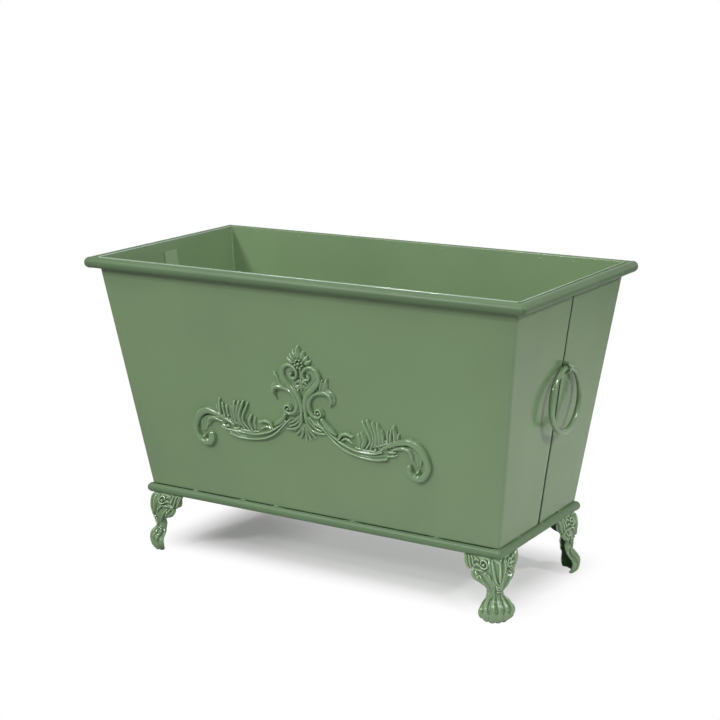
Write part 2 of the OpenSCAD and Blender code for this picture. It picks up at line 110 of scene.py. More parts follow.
# Faces between rows of points that follow one another; each row is closed on itself unless there is a seam
def rowFaces(rows, columns, loop=False, seam=False):
    return [(i * columns + k, i * columns + (k + 1) % columns,
             (i + 1) % rows * columns + (k + 1) % columns, (i + 1) % rows * columns + k)
            for i in range(rows if loop else rows - 1) for k in range(columns - 1 if seam else columns)]


# The same, with a face over each end
def closedFaces(rows, columns):
    ends = [tuple(range(columns))[::-1], tuple((rows - 1) * columns + k for k in range(columns))]
    return rowFaces(rows, columns) + ends


def turned(faces, when=True):
    return [f[::-1] for f in faces] if when else faces


# Round bar along a path, with its own radius at each point
def sweepBar(path, radii, sides=16, closed=False, upright=(0, 0, 1)):
    path = np.array(path, float)
    count = len(path)
    radii = np.broadcast_to(np.asarray(radii, float), (count,))
    ahead = np.roll(path, -1, 0) - np.roll(path, 1, 0)
    if not closed:
        ahead[0], ahead[-1] = path[1] - path[0], path[-1] - path[-2]
    ahead /= np.linalg.norm(ahead, axis=1)[:, None]
    side = np.cross(ahead, np.array(upright, float))
    side /= np.linalg.norm(side, axis=1)[:, None]
    over = np.cross(side, ahead)
    turn = np.linspace(0, 2 * math.pi, sides, endpoint=False)
    points = (path[:, None] + radii[:, None, None]
              * (np.cos(turn)[None, :, None] * side[:, None]
                 + np.sin(turn)[None, :, None] * over[:, None])).reshape(-1, 3)
    return points, rowFaces(count, sides, loop=True) if closed else closedFaces(count, sides)


# Several lots of points and faces as one
def joinParts(parts):
    points, faces, start = [], [], 0
    for p, f in parts:
        points.append(np.asarray(p, float))
        faces += [tuple(start + i for i in face) for face in f]
        start += len(p)
    return np.vstack(points), faces


# Screen colours 0 to 255 as the shader wants them
def screenColour(red, green, blue):
    def linear(v):
        v /= 255
        return v / 12.92 if v <= 0.04045 else ((v + 0.055) / 1.055)**2.4
    return linear(red), linear(green), linear(blue), 1


# Sets the inputs of a node, or links those that come from another node
def feed(tree, node, values):
    for socket, value in values.items():
        if isinstance(value, bpy.types.NodeSocket):
            tree.links.new(value, node.inputs[socket])
        else:
            node.inputs[socket].default_value = value


def newNode(tree, kind, values, mode=None):
    node = tree.nodes.new("ShaderNode" + kind)
    if kind == "Mix":
        node.data_type = mode
    elif kind == "MapRange":
        node.interpolation_type = mode
    elif mode:
        node.operation = mode
    feed(tree, node, values)
    return node


def mapRange(tree, source, reach, span, mode="SMOOTHSTEP"):
    sockets = ("Value", "From Min", "From Max", "To Min", "To Max")
    return newNode(tree, "MapRange", dict(zip(sockets, (source, *reach, *span))), mode).outputs["Result"]


def mathNode(tree, operation, first, second):
    return newNode(tree, "Math", {0: first, 1: second}, operation).outputs[0]


# Distance or dot product of two vectors
def measure(tree, operation, first, second):
    return newNode(tree, "VectorMath", {0: first, 1: second}, operation).outputs["Value"]


def newMaterial(name):
    material = bpy.data.materials.new(name)
    material.use_nodes = True
    tree = material.node_tree
    place = tree.nodes.new("ShaderNodeTexCoord").outputs["Object"]
    return material, tree, tree.nodes["Principled BSDF"], place


# Enamel: clouded colour, painted highlights on convex edges, painted shade in recesses and creases, orange peel, cast
# pits
enamelGrain = {
    "cloudDetail": 3, "cloudSpan": (0.35, 0.68), "speckScale": 620, "speckSpan": (0.70, 0.80), "speckShare": 0.35,
    "creaseShadeSamples": 8, "creaseShadeSpan": (0.85, 0.25), "glossScale": 38, "glossSpan": (0.3, 0.7),
    "bumps": {"waveDepth": (6.5, 1), "peelDepth": (850, 2), "pitDepth": (260, 4)},      # scale and detail of each
    "coatRoughness": 0.08,
}


def enamel(name, slot, look):
    material, tree, shader, place = newMaterial(name)
    grain = enamelGrain

    def cloud(scale, detail):
        return newNode(tree, "TexNoise", {"Scale": scale, "Detail": detail, "Vector": place}).outputs["Fac"]

    def tint(under, over, source, reach, share=1):
        factor = mapRange(tree, source, reach, (0, share), "LINEAR")
        return newNode(tree, "Mix", {0: factor, 6: under, 7: screenColour(*look[over])}, "RGBA").outputs[2]

    base = tint(screenColour(*look["colour"]), "cloudColour", cloud(look["cloudScale"], grain["cloudDetail"]),
                grain["cloudSpan"])
    base = tint(base, "speckColour", cloud(grain["speckScale"], 1), grain["speckSpan"], grain["speckShare"])
    edges = tree.nodes.new("ShaderNodeNewGeometry").outputs["Pointiness"]      # 0.5 where the surface is flat
    # painted shade: recesses, where pointiness is low, are made darker
    if look["recessShadeShare"]:
        base = tint(base, "recessShadeColour", edges, (0.5, 0.5 - look["recessShadeReach"]), look["recessShadeShare"])
    # painted highlight: convex edges, where pointiness is high, are made lighter
    base = tint(base, "edgeHighlightColour", edges, (0.5 + look["edgeHighlightReach"], 0.5 + 3 * look["edgeHighlightReach"]), look["edgeHighlightShare"])
    # painted shade: creases found by ambient occlusion take the dark recess colour
    if look["creaseShadeShare"]:
        shade = newNode(tree, "AmbientOcclusion", {"Distance": look["creaseShadeReach"] * mm})
        shade.samples = grain["creaseShadeSamples"]
        base = tint(base, "recessShadeColour", shade.outputs["AO"], grain["creaseShadeSpan"], look["creaseShadeShare"])
    gloss = mapRange(tree, cloud(grain["glossScale"], 4), grain["glossSpan"], look["roughness"], "LINEAR")
    normal = {}
    for depth, (scale, detail) in grain["bumps"].items():
        if look[depth]:
            bump = newNode(tree, "Bump", {"Strength": 1, "Distance": look[depth] * mm,
                                          "Height": cloud(scale, detail), **normal})
            normal = {"Normal": bump.outputs["Normal"]}
    feed(tree, shader, {"Base Color": base, "Roughness": gloss, "Specular IOR Level": look["gloss"],
                        "Coat Weight": look["coat"], "Coat Roughness": grain["coatRoughness"], **normal})
    return {"material": material, "slot": slot}


sheetLook = {
    "colour": (113, 138, 100), "cloudColour": (108, 131, 96), "cloudScale": 5.0, "speckColour": (126, 148, 116),
    "edgeHighlightColour": (150, 172, 140), "edgeHighlightReach": 0.02, "edgeHighlightShare": 0.45, "recessShadeShare": 0, "creaseShadeShare": 0,
    "roughness": (0.17, 0.26), "waveDepth": 0.6, "peelDepth": 0.006, "pitDepth": 0, "gloss": 0.5, "coat": 0,
}
# Tubes and rim get a darker colour than the sheet, and castings a lighter one, for how light falls on them: painted
# shade and painted light on one enamel
tubeLook = dict(sheetLook, colour=(99, 125, 90), cloudColour=(93, 118, 85), roughness=(0.34, 0.44),
                waveDepth=0.1, peelDepth=0.010, gloss=0.3)
rimLook = dict(tubeLook, colour=(91, 114, 83), cloudColour=(85, 108, 77))
castLook = dict(sheetLook, colour=(114, 143, 102), cloudColour=(106, 134, 94), cloudScale=14.0,
                edgeHighlightColour=(172, 198, 158), edgeHighlightReach=0.022, edgeHighlightShare=0.85,
                recessShadeColour=(40, 62, 36), recessShadeReach=0.08, recessShadeShare=0.85, creaseShadeReach=4, creaseShadeShare=0.30,
                roughness=(0.10, 0.17), waveDepth=0, peelDepth=0.010, pitDepth=0.04, gloss=0.9, coat=0.2)
# Dark paint for the strips in the seams and crevices and for the hollows of the feet: painted shade
crackShadeLook = dict(sheetLook, colour=(34, 49, 30), cloudColour=(26, 39, 23), speckColour=(46, 62, 41),
                 cloudScale=60.0, edgeHighlightShare=0, roughness=(0.55, 0.75), waveDepth=0, gloss=0.2)
hollowShadeLook = dict(crackShadeLook, colour=(66, 98, 62), cloudColour=(52, 80, 48), speckColour=(84, 112, 78))
barLook = dict(tubeLook, colour=(110, 138, 98), cloudColour=(102, 128, 91), roughness=(0.14, 0.20),
               gloss=0.9, coat=0.3)
# Pale glossy paint for the sheet's lip: painted highlight
lipHighlightLook = dict(sheetLook, colour=(176, 194, 182), cloudColour=(158, 180, 160), speckColour=(200, 212, 204),
               cloudScale=22.0, roughness=(0.10, 0.18), waveDepth=0, gloss=0.8, coat=0.5)
sheetPaint = enamel("sage_enamel_on_sheet", "sage_sheet", sheetLook)
tubePaint = enamel("sage_enamel_on_tube", "sage_tube", tubeLook)
rimPaint = enamel("sage_enamel_on_rim", "sage_tube", rimLook)
castPaint = enamel("sage_enamel_on_casting", "sage_casting", castLook)
crackShadePaint = enamel("painted_shade_in_gaps", "sage_sheet", crackShadeLook)
hollowShadePaint = enamel("painted_shade_in_feet", "sage_casting", hollowShadeLook)
barPaint = enamel("sage_enamel_on_bar", "sage_tube", barLook)
lipHighlightPaint = enamel("painted_highlight_on_lip", "sage_sheet", lipHighlightLook)

zincLook = {"colour": (178, 180, 178), "dull": (140, 142, 142), "roughness": (0.28, 0.5), "scratchDepth": 0.02,
            "spangleScale": 420, "grainScale": 900}


# Zinc plate on the bolts: spangled, a little dull
def zincPlate(look):
    material, tree, shader, place = newMaterial("zinc_plate")
    spangle = newNode(tree, "TexVoronoi", {"Scale": look["spangleScale"], "Vector": place}).outputs["Distance"]
    grain = newNode(tree, "TexNoise", {"Scale": look["grainScale"], "Vector": place}).outputs["Fac"]
    colours = {0: spangle, 6: screenColour(*look["colour"]), 7: screenColour(*look["dull"])}
    bump = newNode(tree, "Bump", {"Distance": look["scratchDepth"] * mm, "Height": grain})
    feed(tree, shader, {"Base Color": newNode(tree, "Mix", colours, "RGBA").outputs[2], "Metallic": 1,
                        "Roughness": mapRange(tree, grain, (0, 1), look["roughness"], "LINEAR"),
                        "Normal": bump.outputs["Normal"]})
    return {"material": material, "slot": "zinc_steel"}


def dress(names, finish):
    for name in names:
        slots = nodes[name].material_slots
        for slot in slots:
            slot.material = finish["material"]
        if not len(slots):
            nodes[name].data.materials.append(finish["material"])


dress(["floor_pan", "seam_strap_left", "seam_strap_right", "eye_plate_left", "eye_plate_right"], sheetPaint)
dress(["ring_eye_left", "ring_eye_right"], barPaint)
dress(["foot_bolts", "foot_washers", "foot_nuts"], zincPlate(zincLook))
print("finishes ready")

# The tub's own measures, read off the frame
shellLow, shellHigh = nodeBox("front_shell")
tub = {"bottomLength": 600, "bottomWidth": 241, "low": shellLow[2], "high": shellHigh[2],
       "topLength": 2 * shellHigh[0], "topWidth": -2 * shellLow[1], "sheet": 1.5}
tub["height"] = tub["high"] - tub["low"]


def halfLength(z):
    return tub["bottomLength"] / 2 + (z - tub["low"]) * (tub["topLength"] - tub["bottomLength"]) / 2 / tub["height"]


def halfWidth(z):
    return tub["bottomWidth"] / 2 + (z - tub["low"]) * (tub["topWidth"] - tub["bottomWidth"]) / 2 / tub["height"]


# Tub sheets: each is folded from one length, with rounded edges, slightly crowned
# panels and, at the ends, a bottom edge that stands clear of the base tube between its tacks
shell = {"fold": 4.0, "gap": (4.6, 3.0), "edge": 1.3, "crown": 0.5, "rows": 40, "lip": (30, 60, 90, 120, 150),
         "endLift": {-1: 0.3, 1: 2.0}, "liftFade": 14, "tackHold": 6, "seamWander": (0.5, 0.28)}
tackPlaces = {"long": [-216, -128, -68, 65, 202], "end": [-62, 7, 66]}


def seamDrift(z):
    return shell["seamWander"][0] * math.sin(z / 33 + 0.5) + shell["seamWander"][1] * math.sin(z / 11.3 + 1.3)


# Crown of a panel at shares u across and v up it
def panelCrown(u, v):
    fade = np.clip(1 - u**2, 0, 1)**0.7 * (4 * v * (1 - v))**0.7
    return shell["crown"] * fade * (0.62 + 0.25 * np.sin(4.1 * u + 0.6) + 0.13 * np.sin(9.3 * u + 5.2 * v))


# How far the bottom edge of an end is lifted off the base tube
def edgeLift(along, lift):
    clear = 1 - sum(np.exp(-((along - p) / shell["tackHold"])**2) for p in tackPlaces["end"])
    return lift * np.clip(clear, 0, 1) * np.clip((tub["bottomWidth"] / 2 - np.abs(along)) / 12, 0, 1)**0.5


def shellOutline(z, side, inset):
    length, width = halfLength(z) - inset, halfWidth(z) - inset
    r = shell["fold"] - inset
    edge = shell["edge"]
    v = min(max((z - tub["low"]) / tub["height"], 0), 1)
    gap = np.interp(v, (0, 1), shell["gap"]) * (1 - inset / tub["sheet"]) + 0.1      # the seam is closed inside
    run = width - r - gap / 2
    o = np.concatenate([[0, 0.1, 0.35, 0.8], np.linspace(edge, run - 0.5, 16), [run]])
    sunk = np.where(o < edge, edge - np.sqrt(np.maximum(edge**2 - (edge - o)**2, 0)), 0) if inset == 0 else 0 * o
    y = gap / 2 + o + side * seamDrift(z) * (1 - o / run)
    x = length - sunk + panelCrown(2 * o / run - 1, v) * 0.6
    a = np.radians(np.linspace(0, 90, 9))[1:]
    x = np.concatenate([x, length - r + r * np.cos(a)])
    y = np.concatenate([y, width - r + r * np.sin(a)])
    along = np.concatenate([[length - r - 0.5], np.linspace(length - r, r - length, 64)[1:-1], [r - length + 0.5]])
    bulge = panelCrown(along / (length - r), v)
    x = np.concatenate([x, along, -x[::-1]])
    y = np.concatenate([y, width + bulge, y[::-1]])
    return np.stack([x, side * y], 1)


def foldedSheet(name, side, node):
    t, low, high, rows = tub["sheet"], tub["low"], tub["high"], shell["rows"]
    upright = np.linspace(low + t / 2, high - t / 2, rows)
    upright[1], upright[-2] = upright[0] + 0.4, upright[-1] - 0.4      # keeps the walls flat up to their edges
    turn = np.radians(shell["lip"])
    section = [(z, 0, z) for z in upright]
    section += [(high, t / 2 * (1 - math.cos(a)), high - t / 2 + t / 2 * math.sin(a)) for a in turn]
    section += [(z, t, z) for z in upright[::-1]]
    section += [(low, t / 2 * (1 + math.cos(a)), low + t / 2 - t / 2 * math.sin(a)) for a in turn]
    rings = []
    for level, inset, z in section:
        flat = shellOutline(level, side, inset)
        onEnd = np.abs(flat[:, 1]) <= halfWidth(level) - shell["fold"]
        rise = np.where(onEnd, edgeLift(flat[:, 1], shell["endLift"][side]), 0)
        rings.append(np.column_stack([flat, z + rise * np.clip(1 - (z - low) / shell["liftFade"], 0, 1)]))
    count, columns = len(rings), len(rings[0])
    faces = rowFaces(count, columns, loop=True, seam=True)
    n = len(turn) + 1
    for k in (0, columns - 1):      # close the two edges at the seams
        edge = [i * columns + k for i in range(count)]
        strip = [(edge[i], edge[i + 1], edge[-n - i - 1], edge[-n - i]) for i in range(rows - 1)]
        strip += [tuple(edge[rows - 1:rows + n]), tuple(edge[-n:] + edge[:1])]
        faces += turned(strip, k > 0)
    newPiece(name, np.vstack(rings), turned(faces, side < 0), sheetPaint, "tub", [node], 40)


foldedSheet("front_sheet", -1, "front_shell")
foldedSheet("back_sheet", 1, "back_shell")

# A dark strip down each seam, where the two rounded edges leave a crack: painted shade in the crack
seamShade = {"rows": 60, "below": 9, "depths": (0.3, 1.3), "ripple": 0.1, "pitch": 7}
seamShades = []
for sx in (-1, 1):
    rows = []
    for z in np.linspace(tub["low"] + 1, tub["high"] - seamShade["below"], seamShade["rows"]):
        middle = seamDrift(z)
        wide = np.interp(z, (tub["low"], tub["high"]), shell["gap"]) / 2
        wide += seamShade["ripple"] * math.sin(z / seamShade["pitch"])
        near, far = (sx * (halfLength(z) - d) for d in seamShade["depths"])
        rows += [(near, middle - wide, z), (near, middle + wide, z), (far, middle + wide, z), (far, middle - wide, z)]
    seamShades.append((rows, turned(closedFaces(seamShade["rows"], 4), sx < 0)))
newPiece("seam_crack_shade", *joinParts(seamShades), crackShadePaint, "tub")

# A dark strip in the crevice where the long sides stand on the base tubes, broken by the tacks: painted shade in the
# crevice
creviceShade = {"reach": 1.2, "lift": 0.12, "sink": 0.3, "tackClear": 4.5, "steps": 5, "rows": 12}
railLow, railHigh = nodeBox("base_rail_front")
railRadius = (railHigh[2] - railLow[2]) / 2
cornerX, cornerY = railHigh[0] - railRadius, -railLow[1] - railRadius
stops = [-tub["bottomLength"] / 2 + 2] + [x + w * creviceShade["tackClear"] for x in tackPlaces["long"] for w in (-1, 1)]
stops = np.array(stops + [tub["bottomLength"] / 2 - 2]).reshape(-1, 2)
inner = tub["bottomWidth"] / 2 - cornerY - creviceShade["sink"]
across = np.linspace(inner, tub["bottomWidth"] / 2 - cornerY + creviceShade["reach"], creviceShade["steps"])
parts = []
for sy in (-1, 1):
    for first, last in stops:
        rows = []
        for x in np.linspace(first, last, creviceShade["rows"]):
            out = inner + (across - inner) * min(1, 0.25 + (x - first) / 4, 0.25 + (last - x) / 4)
            for r, line in ((railRadius + creviceShade["lift"], out), (railRadius - creviceShade["sink"], out[::-1])):
                rows += [(x, sy * (cornerY + b), railLow[2] + railRadius + math.sqrt(max(r**2 - b**2, 0)))
                         for b in line]
        parts.append((rows, turned(closedFaces(creviceShade["rows"], 2 * creviceShade["steps"]), sy > 0)))
newPiece("edge_crevice_shade", *joinParts(parts), crackShadePaint, "tub")

# Lip of the sheet painted pale, seen above the front and end tubes: painted highlight
lipEdge = {"radius": 1.0, "inset": 0.75, "sides": 10}
z = tub["high"] - lipEdge["radius"]
x, y, r = halfLength(z) - lipEdge["inset"], halfWidth(z) - lipEdge["inset"], shell["fold"]
turn = np.radians(np.linspace(0, 90, 7))
cornerLeft = [(r - x - r * math.cos(a), r - y - r * math.sin(a)) for a in turn]
cornerRight = [(x - r + r * math.sin(a), r - y - r * math.cos(a)) for a in turn]
path = [(*point, z) for point in [(-x, y - r)] + cornerLeft + cornerRight + [(x, y - r)]]
newPiece("sheet_lip_highlight", *sweepBar(path, lipEdge["radius"], lipEdge["sides"]), lipHighlightPaint, "tub")
print("sheets folded")

# Tube frames: mitred lengths whose outer corners are ground round, with a weld in each mitre
tubeFrames = {
    "rim": {"round": 6.5, "groove": 0.35, "sides": 48, "paint": rimPaint},
    "base_rail": {"round": 0.2, "groove": 0.25, "sides": 48, "paint": tubePaint},
}


def mitredTube(name, look):
    low, high = nodeBox(name)
    radius, level = (high[2] - low[2]) / 2, (low[2] + high[2]) / 2
    longSide = high[0] - low[0] > high[1] - low[1]
    run, across = (0, 1) if longSide else (1, 0)
    half = (high[run] - low[run]) / 2 - radius
    middle = max(abs(low[across]), abs(high[across])) - radius
    sign = 1 if high[across] + low[across] > 0 else -1
    turn = np.linspace(0, 2 * math.pi, look["sides"], endpoint=False)
    out = radius * np.cos(turn)
    ground = 0.2 + look["round"] * ((out + radius) / 2 / radius)**1.5

    def ring(along, outward):
        points = np.zeros((len(turn), 3))
        points[:, run], points[:, across] = along, sign * outward
        points[:, 2] = level + radius * np.sin(turn)
        return points
    rings = [ring((2 * share - 1) * (half - 2 * radius), middle + out) for share in np.linspace(0.05, 0.95, 9)]
    for end in (-1, 1):
        corner = [ring(end * (half + out - ground + ground * math.sin(a)),
                       middle + out - ground + ground * math.cos(a)) for a in np.radians(np.linspace(0, 45, 6))]
        centre = corner[-1].mean(0)
        corner[-1] = centre + (corner[-1] - centre) * (1 - look["groove"] / radius)      # drawn in at the mitre
        rings = rings + corner if end > 0 else corner[::-1] + rings
    faces = turned(closedFaces(len(rings), look["sides"]), (sign < 0) != longSide)
    newPiece(name + "_tube", np.vstack(rings), faces, look["paint"], "tub", [name], 50)
    return rings[-1], level, radius


beadLook = {"radius": 0.75, "ripple": 0.28, "pitch": 2.1}


def weldBead(path, look, closed=False):
    path = np.asarray(path, float)
    step = np.linalg.norm(np.diff(path, axis=0, append=path[:1] if closed else path[-1:]), axis=1)
    travel = np.concatenate([[0], np.cumsum(step)[:-1]])
    radii = look["radius"] + look["ripple"] * np.abs(np.sin(math.pi * travel / look["pitch"]))
    if not closed:      # thinner to both ends
        radii = radii * np.sqrt(np.clip(1 - (2 * travel / travel[-1] - 1)**4, 0.05, 1))
    return sweepBar(path, radii, 8, closed, upright=(0.21, 0.34, 0.92))


for kind, look in tubeFrames.items():
    beads = []
    for place in ("front", "back", "left", "right"):
        ring, level, radius = mitredTube(kind + "_" + place, look)
        if place in ("front", "back"):
            beads += [weldBead(ring * np.array([sx, 1, 1]), beadLook, closed=True) for sx in (-1, 1)]
    points, faces = joinParts(beads)
    points[:, 2] = np.minimum(points[:, 2], level + radius - 0.05)       # ground flush on top
    newPiece(kind + "_corner_welds", points, faces, look["paint"], "tub")
print("tube frames made")

# Tacks that hold the tub on the base tubes, and the small marks left inside by the rim's tacks
tacks = {
    "length": 8, "radius": 1.5, "ripple": 0.4, "pitch": 2.4, "steps": 15, "sink": (0.1, 0.6),
    "insideLong": [-292, -214, -118, -49, 50, 119, 215, 270], "insideEnd": [-110, -36, 41, 112],
    "insideDrop": 7.5, "insideRadius": 1.9, "insideRise": 0.35,
}
beads = []
for kind, run, half in (("long", 0, tub["bottomWidth"] / 2), ("end", 1, tub["bottomLength"] / 2)):
    for way in (-1, 1):
        for place in tackPlaces[kind]:
            path = np.zeros((tacks["steps"], 3))
            path[:, run] = place + np.linspace(-0.5, 0.5, tacks["steps"]) * tacks["length"]
            path[:, 1 - run], path[:, 2] = way * (half - tacks["sink"][0]), tub["low"] - tacks["sink"][1]
            beads.append(weldBead(path, tacks))
newPiece("tub_tack_welds", *joinParts(beads), sheetPaint, "tub")


# A low round blister on a surface, with its flat side against it
def blister(centre, outward, radius, height, rings=4, sides=14):
    outward = np.array(outward, float) / np.linalg.norm(outward)
    side = np.cross(outward, (0.3, 0.5, 0.81))
    side /= np.linalg.norm(side)
    over = np.cross(outward, side)
    points, faces = [np.asarray(centre, float) + height * outward], []
    for r in range(1, rings + 1):
        q = r / rings
        for k in range(sides):
            a = 2 * math.pi * k / sides
            points.append(centre + radius * q * (math.cos(a) * side + math.sin(a) * over)
                          + height * (math.cos(q * math.pi / 2)**0.8 - 0.06 * q) * outward)
    for k in range(sides):
        faces.append((0, 1 + k, 1 + (k + 1) % sides))
        for r in range(rings - 1):
            a, b = 1 + r * sides, 1 + (r + 1) * sides
            faces.append((a + k, b + k, b + (k + 1) % sides, a + (k + 1) % sides))
    return np.array(points), faces


level = tub["high"] - tacks["insideDrop"]
y, x = halfWidth(level) - tub["sheet"] * 1.008, halfLength(level) - tub["sheet"] * 1.010
spots = [((at, way * y, level), (0, -way, 0.13)) for way in (-1, 1) for at in tacks["insideLong"]]
spots += [((way * x, at, level), (-way, 0, 0.14)) for way in (-1, 1) for at in tacks["insideEnd"]]
marks = [blister(at, outward, tacks["insideRadius"], tacks["insideRise"]) for at, outward in spots]
newPiece("rim_tack_marks", *joinParts(marks), sheetPaint, "tub")
print("welds and tacks made")


# A sheet of heights on a fine grid: strokes are laid on it and run together where they meet
class ReliefSheet:
    def __init__(self, low, high, step):
        self.step = step
        self.xs = np.arange(low[0], high[0] + step, step)
        self.ys = np.arange(low[1], high[1] + step, step)
        self.height = np.full((len(self.ys), len(self.xs)), -1.0)
        self.inside = np.full(self.height.shape, -9.0)

    def window(self, low, high):
        return np.ix_((self.ys >= low[1]) & (self.ys <= high[1]), (self.xs >= low[0]) & (self.xs <= high[0]))

    # how far each grid point near a path is from it, on which side, and how far along
    def nearPath(self, path, pad):
        where = self.window(path.min(0) - pad, path.max(0) + pad)
        gx = np.broadcast_to(self.xs[where[1]], (where[0].size, where[1].size))
        gy = np.broadcast_to(self.ys[where[0]], gx.shape)
        step = np.diff(path, axis=0)
        length = np.hypot(step[:, 0], step[:, 1])
        travel = np.concatenate([[0], np.cumsum(length)])
        best, side, share = np.full(gx.shape, 1e9), np.zeros(gx.shape), np.zeros(gx.shape)
        for i in np.nonzero(length > 1e-6)[0]:
            ux, uy = step[i] / length[i]
            dx, dy = gx - path[i, 0], gy - path[i, 1]
            t = np.clip(dx * ux + dy * uy, 0, length[i])
            d = np.hypot(dx - t * ux, dy - t * uy)
            closer = d < best
            best[closer] = d[closer]
            side[closer] = np.sign(ux * dy - uy * dx)[closer]
            share[closer] = ((travel[i] + t) / travel[-1])[closer]
        return where, best, side, share

    def lay(self, where, inside, height, blend=0.6):
        old = self.height[where]
        new = np.where(inside > 0, height, -1.0)
        k = np.clip(0.5 + 0.5 * (new - old) / blend, 0, 1)
        both = old + (new - old) * k + blend * k * (1 - k)
        self.height[where] = np.where((new > -0.9) & (old > -0.9), both, np.maximum(new, old))
        self.inside[where] = np.maximum(self.inside[where], inside)

    # a raised band: widths and heights are shares read along it
    def stroke(self, points, width, height, widths, heights, face, side):
        where, d, s, share = self.nearPath(smoothCurve(points), 0.75 * width + 2)
        half = np.maximum(0.5 * width * readAlong(widths, share), 0.05)
        q = np.clip(d / half, 0, 1.3)
        lean = np.clip(s * side * q, -1, 1)
        rise = np.sqrt(np.clip(1 - q**3, 0, 1))
        if face == "hollow":         # one raised rim, falling to the other side
            rise = np.sqrt(np.clip(1 - q**5, 0, 1)) * (1 - 0.5 * np.clip(-0.1 - 2.4 * lean, 0, 1))
        elif face == "band":         # flat ribbon with crisp sides
            rise = np.sqrt(np.clip(1 - q**4, 0, 1)) * (1 - 0.10 * np.clip(lean, 0, 1))
        elif face == "keel":         # two slopes that meet in a ridge a little off the middle
            rise = np.sqrt(np.clip(1 - q**7, 0, 1)) * (0.42 + 0.58 * (1 - np.abs(lean - 0.25) / 1.25))
        self.lay(where, half - d, height * readAlong(heights, share) * rise)

    def ball(self, centre, radius, height):
        c = np.array(centre, float)
        where = self.window(c - radius - 1.5, c + radius + 1.5)
        gx, gy = self.xs[where[1]], self.ys[where[0]]
        d = np.hypot(gx - c[0], gy - c[1])
        self.lay(where, radius - d, height * np.sqrt(np.clip(1 - (d / radius)**2, 0, 1)), 0.25)

    # Strokes one after another: points, width, height, then if they differ from plain the
    # widths, heights and face, and 0 or -1 where the face doesn't turn with the side.
    # A stroke of one point is a ball.
    def draw(self, strokes, sides=(1,), tall=1.0):
        plain = ((1, 1), (1, 1), "round", 1)
        for sx in sides:
            for points, width, height, *more in strokes:
                widths, heights, face, turn = (*more, *plain[len(more):])
                placed = [(sx * x, y) for x, y in points]
                if len(points) == 1:
                    self.ball(placed[0], width, height * tall)
                else:
                    self.stroke(placed, width, height * tall, widths, heights, face, sx * turn or 1)

    def soften(self):
        h = np.where(self.inside > 0, self.height, 0)
        w = (self.inside > 0).astype(float)
        total, weight = 4 * h, 4 * w
        for axis in (0, 1):
            for way in (-1, 1):
                total = total + np.roll(h, way, axis)
                weight = weight + np.roll(w, way, axis)
        self.height = np.where(self.inside > 0, total / np.maximum(weight, 1), self.height)

    # points on the grid inside the outline, the outermost drawn in onto it
    def surface(self, place):
        solid = self.inside > 0
        cell = solid[:-1, :-1] | solid[1:, :-1] | solid[:-1, 1:] | solid[1:, 1:]
        used = np.zeros(solid.shape, bool)
        for a in (slice(0, -1), slice(1, None)):
            for b in (slice(0, -1), slice(1, None)):
                used[a, b] |= cell
        slopeY, slopeX = np.gradient(self.inside, self.step)
        steep = np.maximum(slopeX**2 + slopeY**2, 0.25)
        gx, gy = np.meshgrid(self.xs, self.ys)
        shift = np.where(used & ~solid, -self.inside, 0)
        x = gx + np.clip(shift * slopeX / steep, -self.step, self.step)
        y = gy + np.clip(shift * slopeY / steep, -self.step, self.step)
        h = np.where(solid, np.maximum(self.height, 0.15), -0.1)
        index = np.full(solid.shape, -1)
        index[used] = np.arange(used.sum())
        r, c = np.nonzero(cell)
        faces = np.stack([index[r, c], index[r, c + 1], index[r + 1, c + 1], index[r + 1, c]], 1)
        return place(x[used], y[used], h[used]), [tuple(f) for f in faces.tolist()]


# Ornament on the front panel, drawn in millimetres from the middle of the crest
ornament = {"middle": 179, "scale": 408 / 412, "grid": 0.6, "relief": 7.0,
            "pinRadius": 2.0, "pinsAt": {"crest": [(0, 22), (0, -16)], "garland": [(60, -60), (126, -68)]}}
lean = math.atan((tub["topWidth"] - tub["bottomWidth"]) / 2 / tub["height"])


def onPanel(x, y, h):
    up = ornament["middle"] + np.asarray(y) * ornament["scale"]
    h = np.asarray(h) + 0.1
    return np.stack([np.asarray(x) * ornament["scale"],
                     -tub["bottomWidth"] / 2 - up * math.sin(lean) - h * math.cos(lean),
                     tub["low"] + up * math.cos(lean) - h * math.sin(lean)], 1)


